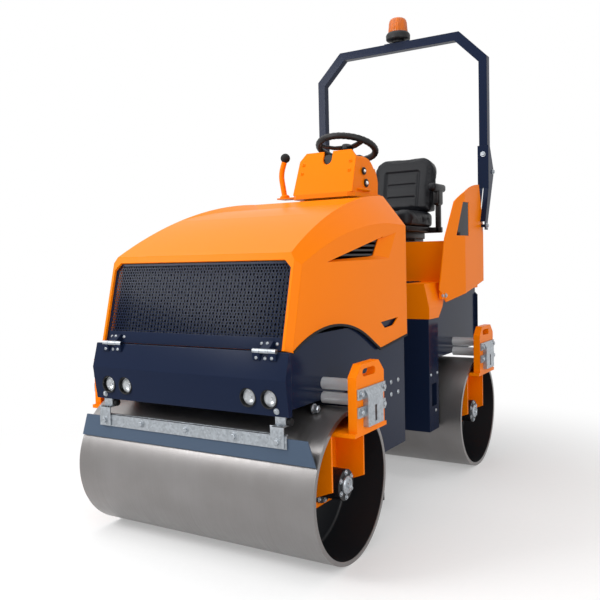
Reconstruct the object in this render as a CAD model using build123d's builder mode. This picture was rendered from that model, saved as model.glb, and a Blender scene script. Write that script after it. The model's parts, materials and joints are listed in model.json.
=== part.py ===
"""Ride-on tandem roller: two smooth drums under a front and a rear frame hinged at a steering pivot.

Millimetres, +Z up, front towards -Y, the machine's left at +X, ground at Z = 0.
Front features are placed from the front drum's axis, rear features from the rear drum's axis.
"""
import os
from math import cos, radians, sin, tan

from build123d import *

os.makedirs("parts", exist_ok=True)

# Drums and wheelbase
wheelbase = 1562
front_axis_y = -840
drum_diameter = 610
drum_width = 1200
drum_wall = 18
drum_head = 14
drum_head_depth = 186
rear_axis_y = front_axis_y + wheelbase
drum_radius = drum_diameter / 2
axis_z = drum_radius
drum_end_x = drum_width / 2
drum_head_x = drum_end_x - drum_head_depth - drum_head

# Hub motors and their shafts
hub_radius = 62
hub_flange_radius = 85
hub_flange = 16
hub_face_in = 31
shaft_radius = 35
running_clearance = 0.1
hub_face_x = drum_end_x - hub_face_in

# Frame plates shared by both halves, the deck over each drum
plate = 12
deck_gap = 30
deck_z = drum_diameter + deck_gap

# Arms that carry the drums, placed from the drum's ends and axis
front_arm_out = 85
rear_arm_out = 50
arm_depth = 36
arm_wall = 12
arm_half_width = 120
arm_rise = 160
arm_shelf = 16
arm_shelf_drop = 80
arm_chamfer_y = 46
arm_chamfer_z = 46
arm_slot_length = 110
arm_slot_height = 30
arm_slot_ahead = 12
arm_slot_drop = 34
channel_outer_in = 17
channel_depth = 128
channel_half_width = 128
channel_flange = 10
flange_outer_rise = 8
flange_inner_drop = 43
web_drop = 100
arm_top_z = deck_z + arm_rise
arm_slot_z = arm_top_z - arm_slot_drop
arm_shelf_z = drum_diameter - arm_shelf_drop
channel_outer_x = drum_end_x - channel_outer_in
channel_web_x = channel_outer_x - channel_depth

# Slide tubes between the frames and the arms, axes above the deck
tube_radius = 24
tube_rises = (65, 8)
front_tube_reach = 208
rear_tube_reach = 195

# Clamp plates on the arms: a bent hat held by four ears
clamp_body_half = 66
clamp_body = 22
clamp_bevel = 24
clamp_base = 8
clamp_top_drop = 94
clamp_low_rise = 32
clamp_ear_y = 96
clamp_ear_half = 20
clamp_ear_drops = (110, 178)
clamp_slot_width = 18
clamp_slot_length = 62
clamp_slot_rise = 14

# Hood, points in distance behind the front axis and z
hood_half = 490
hood_sheet = 5
hood_corner = 22
hood_foot = (-268, 862)
hood_brow = (-176, 1225)
hood_crown = (321, 1428)
hood_tail = (811, 1500)
hood_tail_low_z = 816
arch_front = (-238, 852)
arch_crown = (96, 924)
arch_rear = (385, 845)
arch_tip = (505, 780)
shoulder_angle = 52
shoulder_insets = (40, 79, 118)
shoulder_front_slope = 0.3

# Valley between the hood's shoulders, its floor levelling off before the cowl
valley_angle = 17
valley_floor = ((170, 1383), (480, 1446), (660, 1456))
valley_cowl = (802, 1504)

# Grille in the front of the hood
mask_rim = 34
mask_brow = 28
mask_recess = 12
mask_corner = 30
grille_sheet = 4
grille_strip = 52
grille_hole = 34
grille_pitch = 42
grille_margin = 12

# Side vents in the hood: a pressed pan with a slatted opening, and a small slot below
vent_mouth = ((27, 1184), (696, 1316), (612, 1194), (480, 1190))
vent_floor = ((60, 1191), (551, 1293), (487, 1208), (440, 1203))
vent_depth = 20
vent_slats = 4
vent_slat = 9
vent_lap = 6
side_slot = ((514, 904), (703, 912), (645, 879), (556, 873))

# Front frame, distances behind the front axis
front_plate_gap = 8
front_nose = -262
front_wall = 329
front_tail = 800
front_low_z = 291
front_cheek_z = 905
front_cheek_corner = 62
firewall_gap = 30
firewall_shoulder_z = 1290
firewall_z = 1420
front_plate_x = hood_half - hood_sheet - front_plate_gap
front_arm_x = max(drum_end_x + front_arm_out, front_plate_x + front_tube_reach)

# Chin panel
chin_lap = 3
chin_sheet = 6
chin_top = (-275, 858)
chin_crease = (-304, 757)
chin_low = (-284, 620)
chin_half = hood_half + chin_lap

# Headlights, two at each end of the chin
lamp_insets = (82, 177)
lamp_height = 684
lamp_places = [(side * (chin_half - inset), lamp_height) for side in (1, -1) for inset in lamp_insets]
lamp_radius = 33
lamp_bezel = 4
lamp_lip = 2
lamp_recess = 15
lamp_depth = 28

# Hood hinges along the chin
hinge_axis = (-284, 861)
hinge_pin_radius = 5
hinge_knuckle_radius = 9
hinge_share = 0.4
hinge_gap = 0.6
hinge_inset = 99
hinge_centres_x = (hinge_inset - hood_half, hood_half - hinge_inset)
hinge_half = 52
hinge_leaf = 5
hinge_leaf_height = 34
hinge_wrap = (0.8, 0.5)

# Engine block under the hood
engine_size = (520, 520, 480)
engine_behind_axis = 330

# Drum scraper and flap
scraper_blade = 6
scraper_end_gap = 2
scraper_y = -275
scraper_z = (446, 540)
scraper_corner = 32
scraper_bar_lap = 3
scraper_bar_half = front_plate_x + scraper_bar_lap
scraper_bar_leg = 55
scraper_bar_top_z = 556
scraper_bracket_half = 21
scraper_bar_sheet = 6
scraper_bracket_in = 40
scraper_bar_x = scraper_bar_half - scraper_bracket_in
flap_end_gap = 20
flap_sheet = 8
flap_low_z = 150
flap_top_z = 420
scraper_half = drum_end_x - scraper_end_gap
flap_half = drum_end_x - flap_end_gap

# Steering pivot between the frames
pivot_behind_front = 946
pin_radius = 30
pin_head = 12
pin_head_radius = 48
yoke_half = 78
yoke_lug = 32
yoke_levels = (404, 622)
trunnion_half = 62
trunnion_gap = 6

# Seat box, which the rear frame, platform and supports follow
box_half = 480
box_front = -181
box_back = 390
box_top_z = 1282
box_corner = 18

# Rear frame, distances from the rear axis
rear_plate_in = 25
column_out = 5
column_front = -456
column_back = -322
column_low_z = 268
column_top_z = 868
column_window = (-420, -352, 400, 520)
column_window_depth = 60
rear_tail = 399
rear_top_z = 1000
rear_plate_x = box_half - rear_plate_in
rear_arm_x = max(drum_end_x + rear_arm_out, rear_plate_x + rear_tube_reach)
column_half = box_half + column_out

# Rear panel and lamps: columns are x, z
rear_panel_in = 10
rear_panel_low_z = 660
rear_panel_top_z = 990
rear_panel_corner = 36
rear_lamp_places = ((-380, 900), (380, 900))
rear_lamp_size = (110, 60)
rear_lamp_depth = 18
rear_panel_half = box_half - rear_panel_in

# Operator platform
platform_out = 10
platform_front = -456
platform_floor_z = 1055
platform_drop_x = 130
platform_drop_z = 28
platform_half = box_half + platform_out

# Console, its deck and pillar, distances from the rear axis
deck_half = 185
deck_front = -716
deck_back = -352
deck_low_z = 1516
deck_sheet = 24
deck_corner = 30
pillar_half = 165
pillar_foot = -450
pillar_front = -600
pillar_back = -372
pillar_brow = 40
pillar_neck = 240
console_sheet = 6
console_low_half = 178
console_brow_half = 170
console_top_half = 136
console_brow_z = 1725
console_front_low = -706
console_front_top = (-622, 1768)
console_top_back = (-580, 1748)
console_bend = (-436, 1698)
console_back = (-390, 1603)
console_back_low = -400
console_tray = 16
notch_radius = 27
notch_z = 1723

# Drive lever on a bracket beside the console: columns are x, z
lever_points = ((-309, 1540), (-332, 1673), (-296, 1775))
lever_y = -581
lever_radius = 12
lever_knob_radius = 24
lever_knob_share = 0.35
lever_knob_edge = 10
lever_bracket_out = 335
lever_bracket_half = 42
lever_bracket = 8

# Steering column and wheel
wheel_centre = (-411, 1808)
wheel_tilt = 18
wheel_radius = 175
wheel_rim = 16
wheel_rim_sides = 8
wheel_hub_radius = 34
wheel_hub_height = 34
wheel_spoke = 26
seat_gap = 0.3
column_radius = notch_radius - seat_gap
column_reach = 105
column_nose = -628
column_heel = -425

# Seat
seat_x = 40
seat_half = 208
seat_corner = 50
back_corner = 90
seat_edge = 18
rail_x = 130
rail_half = 22
rail_height = 26
seat_base_half = 150
seat_base_inset = 45
seat_base_height = 98
cushion_front = -118
cushion_back = 300
cushion_thick = 88
back_lean = 12
back_height = 370
back_thick = 92
armrest_gap = 10
armrest_width = 48
armrest_length = 250
armrest_thick = 44
armrest_rise = 235
armrest_strut = 40
seat_base_top_z = box_top_z + seat_base_height

# Roll-over supports: outline points in distance from the rear axis and z
support_out = 63
support_sheet = 6
support_foot = ((-263, 948), (-330, 1017), (-271, 1294), (-170, 1496))
support_brow = (-3, 1576)
support_top = (192, 1612)
support_heel = (262, 1385)
support_rear = (266, 1046)
support_slot = ((-152, 1310), (12, 1310), (12, 1498), (-80, 1498))
support_crease = -60
support_bend = 11
support_flange_top_z = 1340
support_pad_y = (-312, -262)
support_pad_z = (965, 1003)
support_x = platform_half + support_out

# Roll-over hoop, its sleeves and fold
hoop_out = 25
hoop_tube = 50
hoop_seat = 54
hoop_front = 287
hoop_top_z = 2550
hoop_chamfer = 170
hoop_saddle_half = 85
hoop_saddle = 4
hoop_joint_z = 1745
hoop_joint_gap = 5
sleeve_sheet = 6
sleeve_low_z = 1600
sleeve_top_z = 1852
sleeve_top_depth = 24
tail_pin = (236, 1372)
tail_pin_radius = 9
tail_half = 24
fold_behind_hoop = 76
fold_z = 1700
fold_pin_radius = 9
fold_lug_radius = 17
fold_lug_half = 20
hoop_half = support_x + hoop_out

# Beacon on the hoop: lens profile columns are radius, height over the base
beacon_base_radius = 76
beacon_stem_radius = 38
beacon_stem = 14
beacon_base = 62
beacon_profile = ((62, 0), (57, 58), (47, 82), (26, 92))


def save(builder, node):
    """Label a finished sub-part and write it."""
    builder.part.label = node
    export_step(builder.part, f"parts/{node}.step")


def block(x, y, z, mode=Mode.ADD):
    """Add a box that spans the three (low, high) pairs."""
    centre = tuple((pair[0] + pair[1]) / 2 for pair in (x, y, z))
    with Locations(centre):
        Box(x[1] - x[0], y[1] - y[0], z[1] - z[0], mode=mode)


def slab(x, outline, mode=Mode.ADD):
    """Extrude a straight-sided outline of (y, z) corners across the x pair."""
    with BuildSketch(Plane.YZ.offset(x[0])) as face:
        with BuildLine():
            Polyline(*outline, close=True)
        make_face()
    extrude(face.sketch, amount=x[1] - x[0], mode=mode)


def rod_x(x, y, z, radius, mode=Mode.ADD):
    """Add a cylinder along X between the x pair."""
    with Locations(Location(((x[0] + x[1]) / 2, y, z), (0, 90, 0))):
        Cylinder(radius, x[1] - x[0], mode=mode)


def rod_z(x, y, z, radius, mode=Mode.ADD):
    """Add a cylinder along Z between the z pair."""
    with Locations((x, y, (z[0] + z[1]) / 2)):
        Cylinder(radius, z[1] - z[0], mode=mode)


def rod(start, end, radius):
    """Add a cylinder from one point to another."""
    along = Vector(end) - Vector(start)
    with BuildSketch(Plane(start, z_dir=along)) as disc:
        Circle(radius)
    extrude(disc.sketch, amount=along.length)


def front(point):
    """Place a (distance behind the front axis, z) pair."""
    return (front_axis_y + point[0], point[1])


def rear(point):
    """Place a (distance behind the rear axis, z) pair."""
    return (rear_axis_y + point[0], point[1])


def span(side, low, high):
    """Order an x pair on the left (+1) or right (-1) side."""
    return (low, high) if side > 0 else (-high, -low)


sides = (("left", 1), ("right", -1))
axles = (
    ("front", front_axis_y, front_arm_x, front_plate_x),
    ("rear", rear_axis_y, rear_arm_x, rear_plate_x),
)

# Drums: a rolled shell with a head welded in at each end around the hub shaft
for axle, axis_y, arm_x, plate_x in axles:
    with BuildPart() as drum:
        rod_x((-drum_end_x, drum_end_x), axis_y, axis_z, drum_radius)
        rod_x((-drum_end_x, drum_end_x), axis_y, axis_z, drum_radius - drum_wall, Mode.SUBTRACT)
        for _, side in sides:
            head = span(side, drum_head_x, drum_head_x + drum_head)
            rod_x(head, axis_y, axis_z, drum_radius - drum_wall)
            rod_x(head, axis_y, axis_z, shaft_radius + running_clearance, Mode.SUBTRACT)
    save(drum, f"{axle}_drum")

# Hub motors: a flanged body on each arm's web with a shaft into the drum head
for axle, axis_y, arm_x, plate_x in axles:
    with BuildPart() as hubs:
        for _, side in sides:
            body = span(side, channel_web_x, hub_face_x)
            rod_x(body, axis_y, axis_z, hub_radius)
            rod_x(span(side, channel_web_x, channel_web_x + hub_flange), axis_y, axis_z, hub_flange_radius)
            rod_x(span(side, drum_head_x - drum_head, channel_web_x), axis_y, axis_z, shaft_radius)
    save(hubs, f"{axle}_hubs")

# Arms: a flanged upper plate outside the drum, a shelf through its open end, a channel inside it
for axle, axis_y, arm_x, plate_x in axles:
    for name, side in sides:
        top = arm_top_z
        with BuildPart() as arm:
            outline = (
                (axis_y - arm_half_width, arm_shelf_z),
                (axis_y + arm_half_width, arm_shelf_z),
                (axis_y + arm_half_width, top - arm_chamfer_z),
                (axis_y + arm_half_width - arm_chamfer_y, top),
                (axis_y - arm_half_width + arm_chamfer_y, top),
                (axis_y - arm_half_width, top - arm_chamfer_z),
            )
            slab(span(side, arm_x - arm_depth, arm_x), outline)
            block(
                span(side, arm_x - arm_depth, arm_x - arm_wall),
                (axis_y - arm_half_width + arm_wall, axis_y + arm_half_width - arm_wall),
                (arm_shelf_z + arm_shelf, top - arm_chamfer_z - arm_wall),
                Mode.SUBTRACT,
            )
            with BuildSketch(Plane.YZ) as slot:
                with Locations((axis_y - arm_slot_ahead, arm_slot_z)):
                    SlotOverall(arm_slot_length, arm_slot_height)
            extrude(slot.sketch, amount=side * (arm_x + arm_wall), mode=Mode.SUBTRACT)
            block(
                span(side, channel_web_x - arm_wall, arm_x),
                (axis_y - channel_half_width - channel_flange, axis_y + channel_half_width + channel_flange),
                (arm_shelf_z, arm_shelf_z + arm_shelf),
            )
            block(
                span(side, channel_web_x - arm_wall, channel_web_x),
                (axis_y - channel_half_width - channel_flange, axis_y + channel_half_width + channel_flange),
                (axis_z - web_drop, arm_shelf_z),
            )
            for flange_y in (axis_y - channel_half_width - channel_flange, axis_y + channel_half_width):
                with BuildSketch(Plane.XZ.offset(-flange_y)) as flange:
                    with BuildLine():
                        Polyline(
                            (side * channel_web_x, arm_shelf_z),
                            (side * channel_outer_x, arm_shelf_z),
                            (side * channel_outer_x, axis_z + flange_outer_rise),
                            (side * channel_web_x, axis_z - flange_inner_drop),
                            close=True,
                        )
                    make_face()
                extrude(flange.sketch, dir=(0, 1, 0), amount=channel_flange)
            rod_x(
                span(side, channel_web_x - arm_wall, channel_web_x),
                axis_y,
                axis_z,
                shaft_radius + running_clearance,
                Mode.SUBTRACT,
            )
        save(arm, f"{axle}_arm_{name}")

# Slide tubes: two on each side, from the frame's plate into the arm
for axle, axis_y, arm_x, plate_x in axles:
    with BuildPart() as tubes:
        for _, side in sides:
            for rise in tube_rises:
                rod_x(span(side, plate_x, arm_x - arm_wall), axis_y, deck_z + rise, tube_radius)
    save(tubes, f"{axle}_slide_tubes")

# Clamp plates: a bent zinc hat with a bevelled top and a slot, held to the arm by four ears
clamp_top_z = arm_top_z - clamp_top_drop
clamp_low_z = arm_shelf_z + clamp_low_rise
for axle, axis_y, arm_x, plate_x in axles:
    with BuildPart() as clamps:
        for _, side in sides:
            with BuildSketch(Plane.XZ.offset(clamp_body_half - axis_y)) as hat:
                with BuildLine():
                    Polyline(
                        (side * arm_x, clamp_low_z),
                        (side * (arm_x + clamp_body), clamp_low_z),
                        (side * (arm_x + clamp_body), clamp_top_z - clamp_bevel),
                        (side * (arm_x + clamp_base), clamp_top_z),
                        (side * arm_x, clamp_top_z),
                        close=True,
                    )
                make_face()
            extrude(hat.sketch, dir=(0, 1, 0), amount=2 * clamp_body_half)
            for end in (-1, 1):
                for drop in clamp_ear_drops:
                    block(
                        span(side, arm_x, arm_x + clamp_base),
                        sorted((axis_y, axis_y + end * (clamp_ear_y + clamp_ear_half))),
                        (arm_top_z - drop - clamp_ear_half, arm_top_z - drop + clamp_ear_half),
                    )
            slot_low_z = clamp_low_z + clamp_slot_rise
            block(
                span(side, arm_x, arm_x + clamp_body),
                (axis_y - clamp_slot_width / 2, axis_y + clamp_slot_width / 2),
                (slot_low_z, slot_low_z + clamp_slot_length),
                Mode.SUBTRACT,
            )
    save(clamps, f"{axle}_clamp_plates")

# Front frame: side plates, deck over the drum, wall behind it, floor and firewall
nose_y = front_axis_y + front_nose
wall_y = front_axis_y + front_wall
tail_y = front_axis_y + front_tail
with BuildPart() as front_frame:
    for _, side in sides:
        slab(
            span(side, front_plate_x - plate, front_plate_x),
            (
                (nose_y, deck_z),
                (wall_y, deck_z),
                (wall_y, front_low_z),
                (tail_y, front_low_z),
                (tail_y, front_cheek_z),
                (nose_y + front_cheek_corner, front_cheek_z),
                (nose_y, front_cheek_z - front_cheek_corner - plate),
            ),
        )
    across = (-front_plate_x, front_plate_x)
    block(across, (nose_y, nose_y + plate), (chin_low[1], front_cheek_z - front_cheek_corner - plate))
    block(across, (nose_y, wall_y + plate), (deck_z, deck_z + plate))
    block(across, (wall_y, wall_y + plate), (front_low_z, deck_z))
    block(across, (wall_y, tail_y), (front_low_z, front_low_z + plate))
    block(across, (tail_y - plate, tail_y), (front_low_z, front_cheek_z))
    with BuildSketch(Plane.XZ.offset(plate - tail_y)) as firewall:
        foot_half = front_plate_x - firewall_gap
        top_half = hood_half - shoulder_insets[-1] - firewall_gap
        with BuildLine():
            Polyline(
                (-foot_half, front_cheek_z),
                (-foot_half, firewall_shoulder_z),
                (-top_half, firewall_z),
                (top_half, firewall_z),
                (foot_half, firewall_shoulder_z),
                (foot_half, front_cheek_z),
                close=True,
            )
        make_face()
    extrude(firewall.sketch, dir=(0, 1, 0), amount=plate)
save(front_frame, "front_frame")

# Chin panel: a folded sheet across the nose with closed ends
with BuildPart() as chin:
    top_y, top_z = front(chin_top)
    crease_y, crease_z = front(chin_crease)
    low_y, low_z = front(chin_low)
    slab(
        (-chin_half, chin_half),
        (
            (top_y, top_z),
            (crease_y, crease_z),
            (low_y, low_z),
            (nose_y, low_z),
            (nose_y, top_z),
        ),
    )
    slab(
        (-chin_half + chin_sheet, chin_half - chin_sheet),
        (
            (top_y + chin_sheet, top_z - chin_sheet),
            (crease_y + chin_sheet, crease_z),
            (low_y + chin_sheet, low_z + chin_sheet),
            (nose_y, low_z + chin_sheet),
            (nose_y, top_z - chin_sheet),
        ),
        Mode.SUBTRACT,
    )
    for lamp_x, lamp_z in lamp_places:
        with Locations(Location((lamp_x, crease_y, lamp_z), (90, 0, 0))):
            Cylinder(lamp_radius + lamp_bezel, 2 * lamp_depth, mode=Mode.SUBTRACT)
save(chin, "front_panel")

# Headlights: a bezel ring in each chin hole and a lens set back in the ring
lean = (chin_low[0] - chin_crease[0]) / (chin_crease[1] - chin_low[1])
lamp_faces = [(x, crease_y + lean * (crease_z - z), z) for x, z in lamp_places]
with BuildPart() as bezels:
    for lamp_x, face_y, lamp_z in lamp_faces:
        with Locations(Location((lamp_x, face_y + lamp_depth / 2 - lamp_lip, lamp_z), (90, 0, 0))):
            Cylinder(lamp_radius + lamp_bezel, lamp_depth)
            Cylinder(lamp_radius, lamp_depth, mode=Mode.SUBTRACT)
save(bezels, "headlight_bezels")
with BuildPart() as lenses:
    lens = lamp_depth - lamp_lip - lamp_recess
    for lamp_x, face_y, lamp_z in lamp_faces:
        with Locations(Location((lamp_x, face_y + lamp_recess + lens / 2, lamp_z), (90, 0, 0))):
            Cylinder(lamp_radius, lens)
save(lenses, "headlight_lenses")


def slope_block(side, fall, angle, ridge, inset):
    """Make the block above the slope that falls outward (1) or inward (-1) from a curved ridge."""
    slope = radians(angle)
    cut_plane = Plane((0, 0, 0), x_dir=(0, 1, 0), z_dir=(side * fall * cos(slope), 0, -sin(slope)))
    rise = 1 if cut_plane.y_dir.Z > 0 else -1
    brow, crown, end = ((y, rise * (fall * x * sin(slope) + z * cos(slope) - inset)) for x, y, z in ridge)
    ahead = (brow[0] - hood_half, brow[1] - rise * shoulder_front_slope * hood_half)
    behind = (end[0] + hood_half, end[1])
    beyond = rise * 2 * hood_tail[1]
    with BuildPart() as cutter:
        with BuildSketch(cut_plane) as region:
            with BuildLine():
                ThreePointArc(brow, crown, end)
                Polyline(end, behind, (behind[0], beyond), (ahead[0], beyond), ahead, brow)
            make_face()
        extrude(region.sketch, amount=4 * hood_half, both=True)
    return cutter.part


def hood_valley(ridge, inset):
    """Make the trough between the hood's shoulders, deeper by the inset."""
    start, middle, end = ((y, z - inset) for y, z in map(front, valley_floor))
    cowl_y, cowl_z = front(valley_cowl)
    high = 2 * hood_tail[1]
    with BuildPart() as valley:
        with BuildSketch(Plane.YZ.offset(-hood_half)) as trough:
            with BuildLine():
                ThreePointArc(start, middle, end)
                Polyline(end, (cowl_y, cowl_z - inset), (cowl_y, high), (start[0], high), start)
            make_face()
        extrude(trough.sketch, amount=2 * hood_half)
        for side in (1, -1):
            add(slope_block(side, -1, valley_angle, ridge, inset), mode=Mode.INTERSECT)
    return valley.part


def hood_form(inset):
    """Make the hood's outer form, or its inside when inset by the sheet and left open below and behind."""
    points = [front(point) for point in (hood_brow, hood_crown, hood_tail)]
    ridge = [(hood_half - across, y, z) for across, (y, z) in zip(shoulder_insets, points)]
    (brow_y, brow_z), (crown_y, crown_z), (end_y, end_z) = points
    foot_y, foot_z = front(hood_foot)
    with BuildPart() as form:
        with BuildSketch(Plane.YZ.offset(-hood_half + inset)) as profile:
            with BuildLine():
                arc_start = (brow_y + inset, brow_z - inset)
                arc_end = (end_y + inset, end_z - inset)
                ThreePointArc(arc_start, (crown_y, crown_z - inset), arc_end)
                if inset:
                    below = ((end_y + inset, 0), (foot_y + inset, 0), (foot_y + inset, foot_z))
                    Polyline(arc_end, *below, arc_start)
                else:
                    Polyline(arc_end, (end_y, hood_tail_low_z), front(arch_tip), front(arch_rear))
                    ThreePointArc(front(arch_rear), front(arch_crown), front(arch_front))
                    Polyline(front(arch_front), (foot_y, foot_z), arc_start)
            make_face()
        extrude(profile.sketch, amount=2 * (hood_half - inset))
        edges = form.edges().filter_by(Axis.X, reverse=True)
        corners = [edge for edge in edges if edge.center().Y < brow_y and edge.length > hood_half / 2]
        chamfer(corners, hood_corner)
        for side in (1, -1):
            add(slope_block(side, 1, shoulder_angle, ridge, inset), mode=Mode.SUBTRACT)
        add(hood_valley(ridge, inset), mode=Mode.SUBTRACT)
    return form.part


def vent_pan(side, depth, grow):
    """Make the pressed pan of a side vent, tapering from its mouth in the hood's side to its floor."""
    with BuildPart() as pan:
        sections = []
        for outline, x in ((vent_mouth, hood_half), (vent_floor, hood_half - depth)):
            with BuildSketch(Plane.YZ.offset(side * x)) as section:
                with BuildLine():
                    Polyline(*map(front, outline), close=True)
                make_face()
                if grow:
                    offset(amount=grow, kind=Kind.INTERSECTION)
            sections.append(section.sketch)
        loft(sections, ruled=True)
    return pan.part


def mask_plane(recess):
    """Give the slanted plane of the hood's front at a depth behind its face, x across and y up the slope."""
    face = Plane((0, foot_y, foot_z), x_dir=(1, 0, 0), z_dir=(0, foot_z - brow_z, brow_y - foot_y))
    return face.offset(-recess)


def mask_sheet(grow, recess, amount, mode):
    """Extrude the outline of the hood's front window, grown by a margin, from a depth behind the face."""
    with BuildSketch(mask_plane(recess)) as sheet:
        with Locations((0, (slant - mask_brow + grow) / 2)):
            Rectangle(2 * (window_half + grow), slant - mask_brow + grow)
        chamfer(sheet.vertices().group_by(Axis.Y)[-1], mask_corner)
    extrude(sheet.sketch, amount=amount, mode=mode)


# Hood: a sheet shell open below and behind, with a flanged window for the grille and a vent in each side
foot_y, foot_z = front(hood_foot)
brow_y, brow_z = front(hood_brow)
slant = ((brow_z - foot_z) ** 2 + (brow_y - foot_y) ** 2) ** 0.5
window_half = hood_half - mask_rim
with BuildPart() as hood:
    add(hood_form(0))
    add(hood_form(hood_sheet), mode=Mode.SUBTRACT)
    mask_sheet(hood_sheet, mask_recess, mask_recess - hood_sheet / 2, Mode.ADD)
    mask_sheet(0, 2 * mask_recess, 4 * mask_recess, Mode.SUBTRACT)
    for _, side in sides:
        add(vent_pan(side, vent_depth + hood_sheet, hood_sheet))
        add(vent_pan(side, vent_depth, 0), mode=Mode.SUBTRACT)
        inside = span(side, hood_half - 2 * vent_depth, hood_half + hood_sheet)
        slab(inside, [front(corner) for corner in vent_floor], Mode.SUBTRACT)
        slab(inside, [front(corner) for corner in side_slot], Mode.SUBTRACT)
save(hood, "hood")

# Grille: a sheet behind the window, plain along its foot and punched above
with BuildPart() as grille:
    mask_sheet(grille_margin, mask_recess, -grille_sheet, Mode.ADD)
    punched = slant - mask_brow - grille_strip - grille_margin
    rows = int(punched // grille_pitch)
    columns = int((2 * window_half - grille_margin) // grille_pitch)
    with BuildSketch(mask_plane(mask_recess)) as holes:
        with Locations((0, grille_strip + punched / 2)):
            with GridLocations(grille_pitch, grille_pitch, columns, rows):
                Rectangle(grille_hole, grille_hole)
        corner_x = (columns - 1) / 2 * grille_pitch
        corner_y = grille_strip + punched / 2 + (rows - 1) / 2 * grille_pitch
        with Locations((-corner_x, corner_y), (corner_x, corner_y)):
            Rectangle(grille_pitch, grille_pitch, mode=Mode.SUBTRACT)
    extrude(holes.sketch, amount=-grille_sheet, mode=Mode.SUBTRACT)
save(grille, "grille")

# Side vents: a slatted plate behind the opening of each pan
for name, side in sides:
    with BuildPart() as vent:
        low_z = min(z for _, z in vent_floor)
        high_z = max(z for _, z in vent_floor)
        back = hood_half - vent_depth - hood_sheet
        inner = span(side, back - vent_slat, back)
        with BuildSketch(Plane.YZ.offset(inner[0])) as pan:
            with BuildLine():
                Polyline(*map(front, vent_floor), close=True)
            make_face()
            offset(amount=vent_lap)
        extrude(pan.sketch, amount=vent_slat)
        with BuildSketch(Plane.YZ.offset(inner[0])) as gaps:
            with BuildLine():
                Polyline(*map(front, vent_floor), close=True)
            make_face()
            for slat in range(vent_slats):
                with Locations((front_axis_y, low_z + (slat + 1) * (high_z - low_z) / (vent_slats + 1))):
                    Rectangle(4 * hood_half, vent_slat, mode=Mode.SUBTRACT)
        extrude(gaps.sketch, amount=vent_slat, mode=Mode.SUBTRACT)
    save(vent, f"vent_{name}")

# Hood hinges: a pin in two fixed knuckles on the chin, a moving knuckle between them on the grille's foot
hinge_y, hinge_z = front(hinge_axis)
chin_run = ((chin_top[0] - chin_crease[0]) ** 2 + (chin_top[1] - chin_crease[1]) ** 2) ** 0.5
chin_down = ((chin_crease[0] - chin_top[0]) / chin_run, (chin_crease[1] - chin_top[1]) / chin_run)
mask_up = ((brow_y - foot_y) / slant, (brow_z - foot_z) / slant)
fixed_seat = front(chin_top)
moving_seat = (foot_y + mask_recess * slant / (brow_z - foot_z), foot_z)


def leaf(along, seat, x):
    """Add a hinge leaf that lies on the slanted face starting at seat and wraps onto the knuckle."""
    outward = (-abs(along[1]), along[0] if along[1] > 0 else -along[0])
    rise = along[1] * hinge_knuckle_radius
    near = (seat[0] + along[0] * hinge_leaf, seat[1] + along[1] * hinge_leaf)
    far = (seat[0] + along[0] * hinge_leaf_height, seat[1] + along[1] * hinge_leaf_height)
    slab(
        x,
        (
            near,
            far,
            (far[0] + outward[0] * hinge_leaf, far[1] + outward[1] * hinge_leaf),
            (hinge_y - hinge_wrap[0] * hinge_knuckle_radius, hinge_z + hinge_wrap[1] * rise),
            (hinge_y, hinge_z),
        ),
    )


with BuildPart() as fixed_hinges:
    for centre_x in hinge_centres_x:
        rod_x((centre_x - hinge_half, centre_x + hinge_half), hinge_y, hinge_z, hinge_pin_radius)
        for end in (-1, 1):
            knuckle = sorted((centre_x + end * hinge_half, centre_x + end * hinge_share * hinge_half))
            rod_x(knuckle, hinge_y, hinge_z, hinge_knuckle_radius)
            leaf(chin_down, fixed_seat, knuckle)
save(fixed_hinges, "hinge_fixed")
with BuildPart() as moving_hinges:
    for centre_x in hinge_centres_x:
        reach = hinge_share * hinge_half - hinge_gap
        knuckle = (centre_x - reach, centre_x + reach)
        rod_x(knuckle, hinge_y, hinge_z, hinge_knuckle_radius)
        leaf(mask_up, moving_seat, knuckle)
        rod_x(knuckle, hinge_y, hinge_z, hinge_pin_radius + running_clearance, Mode.SUBTRACT)
save(moving_hinges, "hinge_moving")

# Engine: one plain block on the deck over the drum
with BuildPart() as engine:
    engine_y = front_axis_y + engine_behind_axis
    block(
        (-engine_size[0] / 2, engine_size[0] / 2),
        (engine_y - engine_size[1] / 2, engine_y + engine_size[1] / 2),
        (deck_z + plate, deck_z + plate + engine_size[2]),
    )
save(engine, "engine")

# Front scraper: a blade along the drum with slanted ends, a zinc angle on it and brackets up to the chin
blade_y = front_axis_y + scraper_y
bar_y = blade_y - scraper_blade - scraper_bar_sheet
with BuildPart() as blade:
    blade_top_half = scraper_half - scraper_corner
    with BuildSketch(Plane.XZ.offset(-blade_y)) as outline:
        with BuildLine():
            Polyline(
                (-scraper_half, scraper_z[0]),
                (scraper_half, scraper_z[0]),
                (blade_top_half, scraper_z[1]),
                (-blade_top_half, scraper_z[1]),
                close=True,
            )
        make_face()
    extrude(outline.sketch, amount=scraper_blade)
save(blade, "front_scraper_blade")
with BuildPart() as bar:
    bar_x = (-scraper_bar_half, scraper_bar_half)
    leg_z = scraper_bar_top_z - scraper_bar_sheet
    block(bar_x, (bar_y, bar_y + scraper_bar_leg), (leg_z, scraper_bar_top_z))
    block(bar_x, (bar_y, bar_y + scraper_bar_sheet), (scraper_bar_top_z - scraper_bar_leg, leg_z))
    for _, side in sides:
        block(
            span(side, scraper_bar_x - scraper_bracket_half, scraper_bar_x + scraper_bracket_half),
            (bar_y, bar_y + scraper_bar_sheet),
            (scraper_bar_top_z, chin_low[1]),
        )
save(bar, "front_scraper_bar")

# Flap behind the front drum
with BuildPart() as front_flap:
    block((-flap_half, flap_half), (wall_y - flap_sheet, wall_y), (flap_low_z, flap_top_z))
save(front_flap, "front_drum_flap")

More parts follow.
